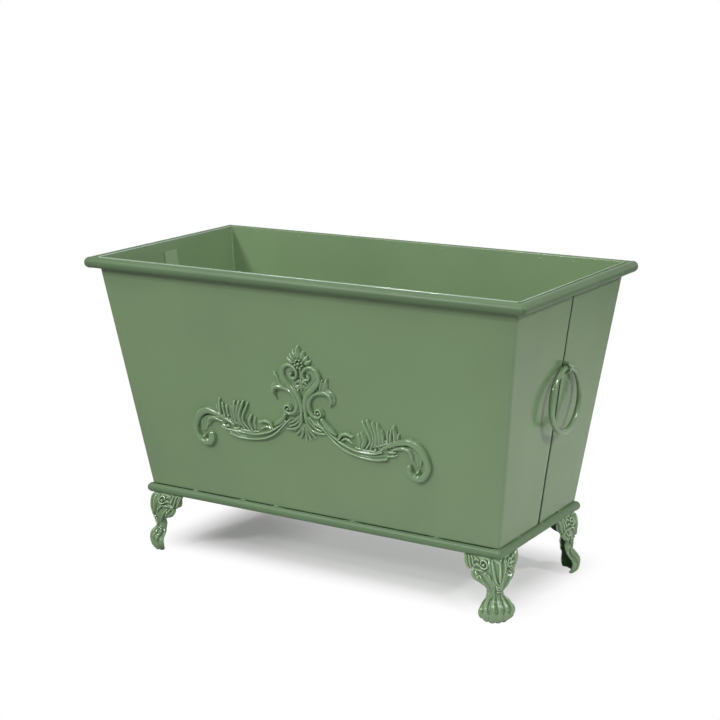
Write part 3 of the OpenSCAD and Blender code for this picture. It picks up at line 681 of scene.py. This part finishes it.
palm = (0.5, 0.9, 1, 0.85, 0.45), (0.5, 0.9, 1, 1, 0.75), "keel"
tassel = (0.7, 0.85, 1.05, 1.1, 0.7), (0.7, 1, 1, 1, 0.8)
crestPairs = [
    # hollow face inside the heart, then the heart band with its volute
    ([(9, 16), (17, 24), (21, 34), (19, 41), (12, 44)], 12, 0.30, (0.5, 1, 1, 1, 0.7)),
    ([(3.5, -26), (3.3, -8), (8.3, 7), (19.5, 18), (28.6, 28.5), (30.6, 38), (26.5, 46.5), (18, 50),
      (9, 46.5), (5.2, 39), (7.5, 32.5), (13, 31.5), (16, 35), (14, 38.5)],
     9.6, 1, (0.62, 0.72, 0.9, 1.05, 1.08, 1.05, 0.9, 0.72, 0.6, 0.5, 0.46, 0.42),
     (0.75, 0.85, 0.95, 1, 1, 1, 0.9, 0.8, 0.8, 0.9, 1, 1), "band"),
    # outer C with a hook above and a volute below
    ([(46.5, -5), (51, 2), (50.3, 10), (43.5, 15.5), (32, 15), (20.5, 10.5), (11.5, 2), (8.6, -9),
      (11, -18), (18, -24.3), (27, -24.5), (32.5, -18), (28.5, -11.6), (22, -13.2), (20.8, -18.6)],
     10.5, 1, (0.3, 0.9, 1.05, 1, 0.85, 0.75, 0.9, 1, 0.95, 0.8, 0.66, 0.55, 0.46, 0.4),
     (0.6, 1, 1, 0.95, 0.85, 0.8, 0.85, 0.9, 0.95, 1, 1.05, 1.1, 1, 0.9), "hollow"),
    ([(26, -18)], 2.8, 1.05),
    # leaves on the hook
    ([(38.5, 17), (41, 26), (45.5, 37)], 9.5, 0.74, (0.9, 1, 0.9, 0.5, 0.12), (1, 1), "keel"),
    ([(32.5, 19), (34.5, 26), (36.5, 34)], 7, 0.6, (0.9, 1, 0.9, 0.5, 0.15), (1, 1), "keel"),
    # palmette over the berries
    ([(3.4, 60), (6.5, 65), (9, 72)], 8.6, 0.84, *palm),
    ([(6, 57.5), (10.5, 60.5), (14.5, 66)], 8.4, 0.84, *palm),
    ([(8.5, 53.5), (13, 55.5), (19, 60)], 8.2, 0.84, *palm),
    # leaves under the volutes
    ([(1, 26), (5, 26.5), (9.5, 23.5)], 6.6, 0.5, (0.7, 1, 1, 0.7, 0.2)),
    ([(1, 21), (4.4, 17.5), (6.5, 12)], 6, 0.46, (0.7, 1, 1, 0.7, 0.2)),
    # bow of three strands, and the tassel under it
    ([(9, -27.5), (15, -34), (22, -38.5), (30, -41)], 4.2, 0.5, (0.7, 1, 1, 0.4)),
    ([(6, -27), (10, -35), (17, -41.5), (28, -45.8)], 4.6, 0.62, (0.7, 1, 1, 0.4)),
    ([(3, -23), (4.8, -34), (10, -43), (19, -48.2), (33, -50)], 5.6, 0.86,
     (0.9, 1, 1, 0.95, 0.4), (1.1, 1, 1, 0.95, 0.6)),
    ([(2.5, -39), (8, -48), (16, -57)], 5, 0.62, *tassel),
    ([(1.5, -40), (4.5, -51), (8.4, -60.5)], 5, 0.7, *tassel),
]
crestMiddle = [
    ([(0, 60), (0, 69), (0.3, 79.6)], 10.4, 0.98, (0.5, 0.9, 1, 0.8, 0.34), (0.5, 0.95, 1, 1, 0.8), "keel"),
    ([(0, 29), (0, 23), (0, 13)], 6.4, 0.56, (0.7, 1, 1, 0.7, 0.2)),
    ([(0, -43), (0, -54), (0, -64.5)], 4, 0.45, (0.7, 1, 1, 0.8, 0.4)),
    ([(0, 48), (0, 39), (0, 30)], 3.6, 0.42),
]
berries = {"count": 8, "middle": 54.2, "ring": 6.2, "turn": 22, "radius": 2.35, "height": 0.95}


def drawCrest(sheet, side):
    tall = ornament["relief"]
    sheet.draw(crestPairs, (-1, 1), tall)
    sheet.draw(crestMiddle, (1,), tall)
    sheet.soften()
    for i in range(berries["count"]):
        a = math.radians(360 / berries["count"] * i + berries["turn"])
        at = berries["ring"] * math.cos(a), berries["middle"] + berries["ring"] * math.sin(a)
        sheet.ball(at, berries["radius"], berries["height"] * tall)
    sheet.ball((0, berries["middle"]), 3.0, 1.1 * tall)


fanLeaves = [   # root, middle, tip, width, share of the relief
    ((90, -62), (91.5, -50), (89, -41.5), 6.6, 0.55), ((94, -63), (99.8, -49), (95.5, -38.5), 9, 0.9),
    ((101, -62), (111, -45), (99.5, -20), 6.4, 0.85), ((109, -61), (117, -42), (107, -17.5), 8, 0.97),
    ((117, -58), (121, -38), (115.5, -20.5), 8.6, 0.92), ((124, -56), (126, -38), (123.5, -20.5), 8, 0.9),
    ((130, -55), (130.5, -41), (129.5, -29), 6, 0.72), ((137, -56), (138.5, -42), (139.5, -29), 4.6, 0.62),
    ((142, -56), (143.6, -40), (146, -25.5), 5.4, 0.86), ((147, -54), (151, -38), (150.5, -20), 7, 0.97),
    ((152, -52), (155, -40), (156.5, -31), 5.2, 0.7)]
garland = [
    # low plate under the leaves, then the stem and its two ridges
    ([(90, -58), (114, -58), (142, -51)], 18, 0.16, (0.5, 1, 1, 0.4)),
    ([(100, -44), (116, -40), (128, -42)], 18, 0.16, (0.5, 1, 1, 0.4)),
    ([(141, -42), (151, -38)], 18, 0.16, (0.5, 1, 1, 0.4)),
    ([(22, -33), (40, -48), (56, -59.5), (75, -68), (98, -72.3), (118, -72), (133, -69)],
     11, 0.32, (0.5, 0.9, 1, 1, 0.95, 0.8, 0.5)),
    ([(33, -38), (46, -48.5), (59, -57), (71, -62), (84, -65.6), (99, -67), (114, -66.6), (127, -63)],
     3.9, 0.9, (0.7, 1, 1, 1, 1, 0.8, 0.5), (0.7, 1, 1, 1, 0.9, 0.8)),
    ([(24, -33), (35, -43.4), (48, -56), (60, -64.6), (74, -70.9), (89, -74.4), (104, -75.8), (119, -75),
      (133, -71.7)], 3.9, 0.86, (0.6, 0.9, 1, 1, 1, 1, 1.2), (0.9, 1, 1, 1, 0.9, 1, 1.1)),
    ([(136, -67.5), (145, -66), (152, -63.5)], 3.4, 0.6, (1.2, 1, 0.4), (1, 1, 0.7)),
    ([(138, -61), (144, -61.5), (149, -60)], 6.6, 0.6, (0.6, 1, 0.4), (1, 1), "keel", 0),
    # leaf that leads in, and the curled leaf on the stem
    ([(31.5, -26.5), (39, -36.6), (53, -46.8)], 8.8, 1, (0.6, 0.9, 1, 0.9, 0.3), (1, 1, 1, 1, 0.8)),
    ([(57, -53), (61.5, -46), (69, -43.5), (80, -45.5)], 6, 0.84, (0.7, 1, 1, 0.9, 0.5)),
    ([(62, -54.5), (69, -52), (79, -57)], 5.6, 0.62, (0.9, 1, 1, 0.9, 0.4), (1, 1), "keel", 0),
    ([(84, -62), (102, -64.5), (127, -62)], 4.2, 0.62, (0.4, 0.9, 1, 0.9, 0.3)),
    ([(111, -57), (123, -54), (135, -49.5)], 4.2, 0.62, (0.4, 0.9, 1, 0.9, 0.3)),
    *[(leaf[:3], *leaf[3:], (0.45, 0.8, 1, 1, 0.95, 0.5), (0.7, 0.92, 1, 1, 0.95, 0.8), "keel")
      for leaf in fanLeaves],
    # end scroll: low veined face, rim and curled leaf
    *[([(160 + shift, -49), (174 + 0.6 * shift, -52 - 0.2 * shift), (181 + shift, -62), (183 + 0.6 * shift, -74)],
       8, 0.40, (0.2, 0.8, 1, 1, 0.6), (1, 1), "keel") for shift in (0, 6.5)],
    ([(128, -57), (146, -48), (160, -43), (174, -41), (187, -46.5), (196, -57.5), (200.5, -72),
      (197.5, -84), (188, -93), (177, -92.5), (171, -86), (170.5, -78)],
     10.8, 0.97, (0.4, 0.6, 0.78, 0.9, 1.12, 1.2, 1.12, 1.0, 0.95, 1.0, 1.1, 0.8),
     (0.7, 0.9, 1, 1, 1, 1, 1, 1, 1.05, 1.1, 1), "band"),
    ([(145, -57), (153, -53.5), (164, -52), (172.5, -56), (175.5, -63.5)], 11, 0.96,
     (0.4, 0.7, 0.9, 0.95, 0.6), (0.8, 1, 1, 1, 0.85), "keel"),
]
garlandBalls = [([(134.5, -71)], 2.6, 0.8), ([(118, -60)], 2.0, 0.95), ([(135.5, -44)], 2.1, 0.85),
                ([(184.5, -83)], 2.8, 1.05), ([(179.5, -89)], 2.8, 1.1)]


def drawGarland(sheet, side):
    sheet.draw(garland, (side,), ornament["relief"])
    sheet.soften()
    sheet.draw(garlandBalls, (side,), ornament["relief"])


# Pins cast on the back, their ends peened over inside the panel
def pinEnds(places, side):
    parts = []
    for x, y in places:
        inner = onPanel([side * x] * 2, [y, y], [-2.0, -3.2])
        path = [inner[0], inner[0] + 0.7 * (inner[1] - inner[0]), inner[1]]
        parts.append(sweepBar(path, np.array([1.15, 1.1, 0.6]) * ornament["pinRadius"], 16, upright=(1, 0, 0)))
    return parts


for name, node, low, high, side, draw in (
        ("crest", "crest_ornament", (-60, -76), (60, 86), 1, drawCrest),
        ("garland_left_cast", "garland_left", (-214, -104), (-14, -8), -1, drawGarland),
        ("garland_right_cast", "garland_right", (14, -104), (214, -8), 1, drawGarland)):
    sheet = ReliefSheet(low, high, ornament["grid"])
    draw(sheet, side)
    pins = pinEnds(ornament["pinsAt"][name.split("_")[0]], side)
    newPiece(name, *joinParts([sheet.surface(onPanel)] + pins), castPaint, "tub", [node])
print("ornament cast")

# Claw feet. Each level of a foot: height, front reach, half width, half depth,
# squareness (2 is round, 1 is a right-angled corner) and how far round it wraps
foot = {
    "height": 92, "wall": 4.5, "flange": 5, "rows": 132, "columns": 168, "grid": 0.6, "soleRise": 2.0, "deepen": 1.25,
    "levels": [
        (0, 3.0, 17.0, 12.5, 2.1, 90), (3, 5.4, 21.4, 15.0, 2.1, 90), (7, 7.4, 24.2, 16.4, 2.1, 90),
        (12, 8.3, 25.6, 16.8, 2.1, 90), (17, 8.9, 26.0, 16.8, 2.1, 90), (22, 8.2, 25.0, 16.4, 2.1, 90),
        (26, 5.6, 22.0, 15.6, 2.1, 91), (29.5, 2.4, 18.2, 14.2, 2.1, 94), (33, 0.4, 15.2, 13.0, 2, 98),
        (37, -0.3, 13.4, 12.4, 2, 102), (43, -0.8, 13.0, 12.4, 2, 106), (47.5, 0.2, 13.8, 13.2, 1.9, 102),
        (52.5, 2.2, 16.2, 15.8, 1.7, 92), (55.5, 3.4, 18.8, 19.2, 1.6, 90), (57, 4.0, 22.4, 23.6, 1.5, 90),
        (58.5, 4.4, 25.8, 27.8, 1.45, 90), (61, 5.0, 28.4, 31.0, 1.4, 90), (65, 5.8, 29.8, 33.6, 1.36, 90),
        (69, 6.5, 29.8, 34.6, 1.33, 90), (70.5, 6.7, 29.8, 34.8, 1.31, 90), (72, 6.8, 33.2, 38.6, 1.3, 90),
        (74, 6.9, 36.4, 42.2, 1.28, 90), (78, 6.9, 38.2, 44.0, 1.25, 90), (83, 6.3, 38.4, 43.8, 1.22, 90),
        (87, 4.8, 38.0, 42.2, 1.18, 90), (90, 2.6, 37.6, 39.8, 1.14, 90), (92, 0.6, 37.0, 37.6, 1.12, 90)],
    "ground": 1.9, "topFade": 1.5, "edgeTuck": 0.9,
    "soleDepth": 14, "soleFlat": 8, "scallop": 0.45, "toeHeight": 2.6, "toeLevel": 6.0,
    "boltReach": 36, "boltInset": 15.05, "bossRadius": 6.8, "slabEdge": 0.7,
}
toe = (0.5, 0.96, 1, 0.98), (0.8, 1, 0.9, 0.6)
tendon = (0.3, 0.75, 1, 0.95, 0.7), (0.2, 0.85, 1, 0.95, 0.8)
rib = (0.4, 1, 1, 0.8), "keel", 0
lobe = (0.6, 1, 1), (0.8, 1, 0.9)
footPairs = [
    # toes: a short tendon runs down into each
    ([(9.8, 18), (9.8, 11), (9.8, 3)], 11.4, 2.5, *toe),
    ([(4.8, 38), (7.3, 32.5), (9.31, 26), (9.8, 15)], 5.8, 3.2, *tendon),
    ([(20.4, 18), (20.4, 11), (20.4, 3)], 11.4, 2.5, *toe),
    ([(10.0, 38), (15.2, 32.5), (19.38, 26), (20.4, 15)], 5.8, 3.2, *tendon),
    ([(29, 24), (31.5, 14), (31, 3)], 12, 2.0, (0.5, 1, 1, 0.9), (0.4, 1, 1, 0.8)),
    # knee: folds that meet in a point, the valley beside the middle ridge left low
    ([(10.4, 91), (10.2, 82), (8.6, 71), (5.4, 62), (2.0, 56.5)], 5.6, 3.8,
     (0.8, 1, 1, 0.9, 0.6), (0.8, 1, 0.9, 0.85, 0.9), "keel", -1),
    ([(5.4, 50), (6.2, 44), (5.2, 37)], 3.4, 2.8, (0.5, 1, 0.6), (0.6, 1, 0.7)),
    # lower leaf: two ribs from the neck up to the lobe, the lobe, a ball and a bead
    ([(12, 44.5), (17, 50.5), (24, 59.5), (30.5, 66.5)], 4.6, 3.7, (0.4, 0.9, 1, 0.6), *rib),
    ([(21, 50.5), (28, 57.5), (34, 64), (39.5, 70.5)], 4.8, 3.7, (0.4, 0.9, 1, 0.7), *rib),
    ([(24, 53), (32, 56.5), (39, 60.5), (43, 66), (41.5, 72.5)], 7.4, 3.4, (0.5, 0.9, 1, 1, 0.8)),
    ([(23.5, 73.2), (31, 73.8), (38, 73.2)], 3.8, 2.9, (0.6, 1, 0.8), (0.8, 1, 0.8)),
    ([(12.5, 62), (15, 67), (19, 70.5)], 4.2, 2.6, (0.5, 1, 0.7), (0.6, 1, 0.7)),
    ([(32.2, 63.5)], 2.6, 4.5),
    ([(20.8, 71.4)], 2.2, 4.6),
    # upper leaf: upright lobes at the wing's end, small lobes, then the curled eye
    ([(49.6, 73.5), (52.5, 80), (52, 92)], 6.6, 3.6, (0.7, 1, 1), (0.8, 1, 0.9)),
    ([(44.4, 74.5), (46.6, 81), (46.2, 92)], 4.4, 3.4, *lobe),
    ([(39.6, 78), (41.2, 83), (41, 92)], 3.4, 3.2, *lobe),
    ([(29.8, 79.6), (33.5, 81.2), (37.4, 80)], 4.6, 3.3, (0.7, 1, 0.7), (0.8, 1, 0.8)),
    ([(31.5, 86.6), (34.6, 88.6), (38, 86.4)], 4.6, 3.6, (0.7, 1, 0.7), (0.9, 1, 0.8)),
    ([(28.2, 78.2), (22.6, 77.2), (18.6, 80), (18.6, 85.2), (22.8, 87.9), (27.4, 86.3), (28.4, 82.4)],
     3.0, 3.4, (0.7, 1, 1, 1, 1, 0.9, 0.7)),
    ([(23.5, 82.3)], 2.4, 4.3),
    ([(14.6, 90), (14.8, 83), (13.6, 76)], 3.6, 2.9, (0.7, 1, 0.5), (0.8, 1, 0.6)),
]
footMiddle = [
    # middle toe, middle ridge of the knee, tongue and its three cross bands
    ([(0, 18), (0, 11), (0, 3)], 11.4, 2.6, *toe),
    ([(0, 38), (0, 32), (0, 26), (0, 15)], 6.0, 3.3, (0.3, 0.8, 1, 0.95, 0.7), (0.2, 0.9, 1, 0.95, 0.8)),
    ([(0.3, 88), (0.4, 76), (0.6, 66), (0.8, 60.5)], 4.2, 2.9, (0.7, 0.8, 1.1, 0.8), (0.7, 0.8, 1, 1)),
    ([(1.4, 54.5), (1.6, 49), (1.6, 43.5)], 8.2, 2.3, (0.6, 1, 0.7), (1, 1, 0.7)),
    *[([(1.5 - wide / 2, z + 0.8), (1.5, z), (1.5 + wide / 2, z + 0.8)], 2.2, 3.4, (0.6, 1, 0.6))
      for z, wide in ((52.0, 8.5), (47.8, 7.4), (43.8, 6.6))],
]
footSheet = ReliefSheet((-62, -2), (62, 96), foot["grid"])
footSheet.draw(footPairs, (-1, 1))
footSheet.draw(footMiddle)
footSheet.soften()


# Height of the foot's relief at arc distance s and height z; bare metal between strokes is low
def footRelief(s, z):
    sheet = footSheet
    fx = np.clip((s - sheet.xs[0]) / sheet.step, 0, len(sheet.xs) - 1.001)
    fy = np.clip((z - sheet.ys[0]) / sheet.step, 0, len(sheet.ys) - 1.001)
    i, j = fx.astype(int), fy.astype(int)
    tx, ty = fx - i, fy - j
    h = np.maximum(sheet.height, 0)
    return ((1 - ty) * ((1 - tx) * h[j, i] + tx * h[j, i + 1])
            + ty * ((1 - tx) * h[j + 1, i] + tx * h[j + 1, i + 1]))


def footCasting():
    rows, columns, innerColumns = foot["rows"], foot["columns"], foot["columns"] // 4
    table = np.array(foot["levels"], float)
    z = np.linspace(0, foot["height"], rows)
    kernel = np.array([1, 2, 3, 2, 1]) / 9      # evens out the corners between levels
    reach, wide, deep, square, wrap = (
        np.convolve(np.pad(np.interp(z, table[:, 0], column), 2, mode="edge"), kernel, "valid")
        for column in table.T[1:])

    # one level of the skin, or of the hollow inside it, at even steps of arc
    def level(r, inset, count):
        a = np.radians(np.linspace(-wrap[r], wrap[r], 1601))
        power = 2 / square[r]
        k = 1 + 0.41 * (2 - min(square[r], 2))      # squarer corners need more inset for the same wall
        d, w = deep[r] - inset * k, wide[r] - inset * k
        u = reach[r] - deep[r] + d * np.sign(np.cos(a)) * np.abs(np.cos(a))**power
        v = w * np.sign(a) * np.abs(np.sin(a))**power
        s = np.concatenate([[0], np.cumsum(np.hypot(np.diff(u), np.diff(v)))])
        s = s - s[-1] / 2
        arc = np.linspace(-1, 1, count) * s[-1]
        return arc, np.stack([np.interp(arc, s, u), np.interp(arc, s, v), np.full(count, z[r])], 1)
    arcs, grid = (np.array(part) for part in zip(*(level(r, 0, columns) for r in range(rows))))
    inner = np.array([level(r, foot["wall"], innerColumns)[1] for r in range(rows)])
    # outward normals of the plain skin, then the relief along them
    down, across = np.gradient(grid, axis=0), np.gradient(grid, axis=1)
    normal = np.cross(across, down)
    normal /= np.linalg.norm(normal, axis=2)[:, :, None]
    relief = footRelief(arcs, grid[:, :, 2])
    fade = np.clip((foot["height"] - grid[:, :, 2]) / foot["topFade"], 0.2, 1)
    lift = (foot["deepen"] * relief - foot["ground"]) * fade
    t = np.linspace(-1, 1, columns)
    edge = np.clip((1 - np.abs(t)) * 60, 0, 1)[None, :]      # the free edge rounds over
    lift = lift * edge - foot["edgeTuck"] * (1 - edge)
    skin = grid + normal * lift[:, :, None]
    # the sole is scalloped and rises to the sides: the middle toes stand on the floor
    between = np.clip(foot["toeHeight"] - footRelief(arcs, np.full_like(arcs, foot["toeLevel"])), 0, 2.0)
    notch = foot["scallop"] * between
    notch = notch + foot["soleRise"] * np.clip((np.abs(arcs) - foot["soleFlat"]) / 24, 0, 1)**1.3
    nearSole = np.clip(1 - grid[:, :, 2] / foot["soleDepth"], 0, 1)
    skin[:, :, 2] = np.clip(skin[:, :, 2] + notch * nearSole, 0, foot["height"])
    for r in range(rows):
        innerNotch = np.interp(np.linspace(-1, 1, innerColumns), t, notch[r]) + 0.5
        inner[r, :, 2] = np.clip(inner[r, :, 2] + innerNotch * nearSole[r, 0], 0, foot["height"])
    rings = np.concatenate([skin, inner[:, ::-1]], 1)
    count = columns + innerColumns
    points = rings.reshape(-1, 3)
    faces = rowFaces(rows, count)
    for row in (0, rows - 1):      # the wall's edge at the sole and at the top
        stops = [round(k * (columns - 1) / (innerColumns - 1)) for k in range(innerColumns)]
        for k in range(innerColumns - 1):
            outside = range(row * count + stops[k], row * count + stops[k + 1] + 1)
            inside = row * count + count - 2 - k, row * count + count - 1 - k
            faces.append(turned([(*outside, *inside)], row == 0)[0])
    return points, faces


# Flat outline round a set of points
def hullOf(points):
    pts = sorted(set(map(tuple, np.round(points, 4))))

    def half(seq):
        out = []
        for p in seq:
            while len(out) > 1 and ((out[-1][0] - out[-2][0]) * (p[1] - out[-2][1])
                                    - (out[-1][1] - out[-2][1]) * (p[0] - out[-2][0])) <= 0:
                out.pop()
            out.append(p)
        return out[:-1]
    return half(pts) + half(pts[::-1])


# Plate with rounded edges from a flat outline
def slab(outline, low, high, rounding):
    o = np.array(outline)
    n = len(o)
    ahead = np.roll(o, -1, 0) - np.roll(o, 1, 0)
    ahead /= np.linalg.norm(ahead, axis=1)[:, None]
    out = np.stack([ahead[:, 1], -ahead[:, 0]], 1)
    rows = []
    for z, cut in ((low, rounding), (low + 0.3 * rounding, 0.3 * rounding), (low + rounding, 0),
                   (high - rounding, 0), (high - 0.3 * rounding, 0.3 * rounding), (high, rounding)):
        rows.append(np.column_stack([o - out * cut, np.full(n, z)]))
    return np.vstack(rows), closedFaces(6, n)


# Flange inside the top of a foot, with a raised boss round each bolt
def footFlange():
    parts = []
    turn = np.linspace(0, 2 * math.pi, 24, endpoint=False)
    low, high, diagonal = tub["low"] - 0.1, foot["height"], math.sqrt(0.5)
    inset, arm = foot["boltInset"], foot["boltReach"] + foot["bossRadius"]
    ring = np.stack([foot["bossRadius"] * np.cos(turn) - foot["boltReach"],
                     inset + foot["bossRadius"] * np.sin(turn)], 1)
    bar = np.array([(-arm, -2.2), (0, -2.2), (0, 2.2), (-arm, 2.2), (-inset, inset + 4), (-inset + 4, inset + 4)])
    for side in (-1, 1):
        for outline, under, over in ((hullOf(np.vstack([ring, bar])), high - foot["flange"], high),
                                     (ring, high - 1, low)):
            points, faces = slab(outline, under, over, foot["slabEdge"])
            x, y = points[:, 0].copy(), points[:, 1] * side
            points[:, 0], points[:, 1] = diagonal * (x - side * y), diagonal * (side * x + y)
            parts.append((points, turned(faces, side < 0)))
    return parts


footPoints, footFaces = joinParts([footCasting()] + footFlange())
aroundFoot = foot["columns"] + foot["columns"] // 4
for node, sx, sy in (("foot_front_left", -1, -1), ("foot_front_right", 1, -1),
                     ("foot_back_left", -1, 1), ("foot_back_right", 1, 1)):
    out, along = footPoints[:, 0] * math.sqrt(0.5), footPoints[:, 1] * math.sqrt(0.5)
    placed = np.stack([sx * (cornerX + out) - sy * along, sy * (cornerY + out) + sx * along, footPoints[:, 2]], 1)
    piece = newPiece(node.replace("foot", "claw_foot"), placed, footFaces, castPaint, "tub", [node])
    piece.data.materials.append(hollowShadePaint["material"])       # the hollow inside is painted dark: painted shade
    for face in piece.data.polygons:
        if all(v < aroundFoot * foot["rows"] and v % aroundFoot >= foot["columns"] for v in face.vertices):
            face.material_index = 1
print("feet cast")

# Ring handles: round bar, butt-welded at the bottom
ringLook = {"steps": 120, "sides": 24, "weldRise": 0.28, "weldLength": 4.5}
for side in ("left", "right"):
    low, high = nodeBox("ring_" + side)
    rod = (high[0] - low[0]) / 2
    radius = (high[2] - low[2]) / 2 - rod
    turn = np.linspace(0, 2 * math.pi, ringLook["steps"], endpoint=False)
    path = np.stack([np.full(len(turn), (low[0] + high[0]) / 2), radius * np.sin(turn),
                     (low[2] + high[2]) / 2 - radius * np.cos(turn)], 1)
    fromWeld = np.minimum(turn, 2 * math.pi - turn) * radius
    radii = rod + ringLook["weldRise"] * np.exp(-(fromWeld / ringLook["weldLength"])**2)
    newPiece("ring_bar_" + side, *sweepBar(path, radii, ringLook["sides"], True, upright=(1, 0, 0)),
             barPaint, "ring_handle_" + side, ["ring_" + side])
print("rings made")

# Floor and lights: a pale floor that turns white away from the planter, in metres
# shade and farShade are the colours of the painted pool of light; the paintedShadow keys place a painted darker
# shadow at the back left
stage = {
    "size": 30.0, "shade": 0.80, "farShade": 0.30, "paintedPoolReach": (0.25, 1.35), "paintedPoolMiddle": (0.55, 0.25, 0),
    "shadowMiddle": (0, 0.045, 0), "fadeAcross": (0.245, 0.345), "fadeDeep": (0.08, 0.168), "lift": 0.36,
    "paintedShadowMiddle": (-0.235, 0.03, 0), "paintedShadowReach": (0.02, 0.16), "paintedShadowShare": 0.16,
    "skyFill": 0.30, "ceiling": (0.10, 0.55), "backdropWay": (-0.53, 0.85, 0), "backdropSpan": (-0.1, 0.4),
}
floorMesh = bpy.data.meshes.new("floor")
half = stage["size"] / 2
floorMesh.from_pydata([(-half, -half, 0), (half, -half, 0), (half, half, 0), (-half, half, 0)], [], [(0, 1, 2, 3)])
floorObject = bpy.data.objects.new("floor", floorMesh)
scene.collection.objects.link(floorObject)


# The camera sees the floor's own light only in the shadow's patch, and white around it. The floor's colour is a
# painted pool of light: pale near the planter, dim far off
def floorPaint(look):
    material, tree, shader, place = newMaterial("pale_floor")
    rays = tree.nodes.new("ShaderNodeLightPath").outputs["Is Camera Ray"]
    fromPaintedPool = measure(tree, "DISTANCE", place, look["paintedPoolMiddle"])
    feed(tree, shader, {"Roughness": 0.9, "Specular IOR Level": 0.1,
                        "Base Color": mapRange(tree, fromPaintedPool, look["paintedPoolReach"], (look["shade"], look["farShade"]))})
    offset = newNode(tree, "VectorMath", {0: place, 1: look["shadowMiddle"]}, "SUBTRACT").outputs["Vector"]
    offset = newNode(tree, "VectorMath", {0: offset}, "ABSOLUTE").outputs["Vector"]
    spot = newNode(tree, "SeparateXYZ", {0: offset}).outputs
    across = mapRange(tree, spot["X"], look["fadeAcross"], (1, 0))
    deep = mapRange(tree, spot["Y"], look["fadeDeep"], (1, 0))
    plain = 1 - look["lift"]
    # painted shadow: near a spot at the back left less white is mixed in, so the shadow is darker there
    strength = mapRange(tree, measure(tree, "DISTANCE", place, look["paintedShadowMiddle"]), look["paintedShadowReach"],
                        (plain + look["paintedShadowShare"], plain))
    patch = mathNode(tree, "MULTIPLY", mathNode(tree, "MULTIPLY", across, deep), strength)
    white = mathNode(tree, "MULTIPLY", mathNode(tree, "SUBTRACT", 1.0, patch), rays)
    glow = newNode(tree, "Emission", {}).outputs[0]
    blend = newNode(tree, "MixShader", {0: white, 1: shader.outputs[0], 2: glow})
    tree.links.new(blend.outputs[0], tree.nodes["Material Output"].inputs[0])
    return material


floorMesh.materials.append(floorPaint(stage))
floorObject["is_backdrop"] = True

# World: white for the camera, and for reflections where the backdrop stands; a dim studio elsewhere
world = bpy.data.worlds.new("studio")
world.use_nodes = True
scene.world = world
tree = world.node_tree
rays = tree.nodes.new("ShaderNodeLightPath")
way = tree.nodes.new("ShaderNodeTexCoord").outputs["Generated"]
lowDown = mapRange(tree, measure(tree, "DOT_PRODUCT", way, (0, 0, 1)), stage["ceiling"], (1, 0))
behind = mapRange(tree, measure(tree, "DOT_PRODUCT", way, stage["backdropWay"]), stage["backdropSpan"], (0, 1))
mirrored = mathNode(tree, "MULTIPLY", rays.outputs["Is Glossy Ray"], mathNode(tree, "MULTIPLY", lowDown, behind))
seen = mathNode(tree, "MAXIMUM", rays.outputs["Is Camera Ray"], mirrored)
feed(tree, tree.nodes["Background"], {"Color": (1, 1, 1, 1),
                                      "Strength": mapRange(tree, seen, (0, 1), (stage["skyFill"], 1))})

lamps = {
    "key": {"at": (-1.3, -2.7, 1.9), "size": 0.40, "power": 43},
    "front": {"at": (0.3, -2.5, 2.4), "size": 0.30, "power": 24},
    "glint": {"at": (1.3, -2.4, 2.5), "size": 0.16, "power": 10},
    "high": {"at": (-1.7, -1.5, 2.5), "size": 0.40, "power": 14},
    "side": {"at": (2.3, 0.0, 1.75), "size": 0.22, "power": 28},
    "top": {"at": (0.1, 0.1, 2.7), "size": 2.2, "power": 23},
}
lampTarget = Vector((0, 0, 0.28))
for name, look in lamps.items():
    lamp = bpy.data.lights.new(name, "AREA")
    lamp.shape = "SQUARE"
    lamp.size = look["size"]
    lamp.energy = look["power"]
    lampObject = bpy.data.objects.new(name, lamp)
    scene.collection.objects.link(lampObject)
    lampObject.location = look["at"]
    lampObject.rotation_euler = (lampTarget - Vector(look["at"])).to_track_quat("-Z", "Y").to_euler()

# Camera as in the photograph
view = {"azimuth": 32.2627, "elevation": 13.4406, "roll": -0.63, "lens": 83.24, "distance": 2.45977,
        "target": (0.0041, 0, 0.311)}
azimuth, elevation, roll = (math.radians(view[k]) for k in ("azimuth", "elevation", "roll"))
back = Vector((math.sin(azimuth) * math.cos(elevation), -math.cos(azimuth) * math.cos(elevation),
               math.sin(elevation)))
right = Vector((0, 0, 1)).cross(back).normalized()
up = back.cross(right)
rightTurned = math.cos(roll) * right + math.sin(roll) * up
upTurned = -math.sin(roll) * right + math.cos(roll) * up
place = Matrix((rightTurned, upTurned, back)).transposed().to_4x4()
place.translation = Vector(view["target"]) + view["distance"] * back
camera = bpy.data.cameras.new("camera")
camera.sensor_width, camera.lens, camera.clip_end = 36, view["lens"], 100
cameraObject = bpy.data.objects.new("camera", camera)
scene.collection.objects.link(cameraObject)
cameraObject.matrix_world = place
scene.camera = cameraObject
scene.view_settings.view_transform = "Standard"
print("stage, lamps and camera set")

low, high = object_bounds()
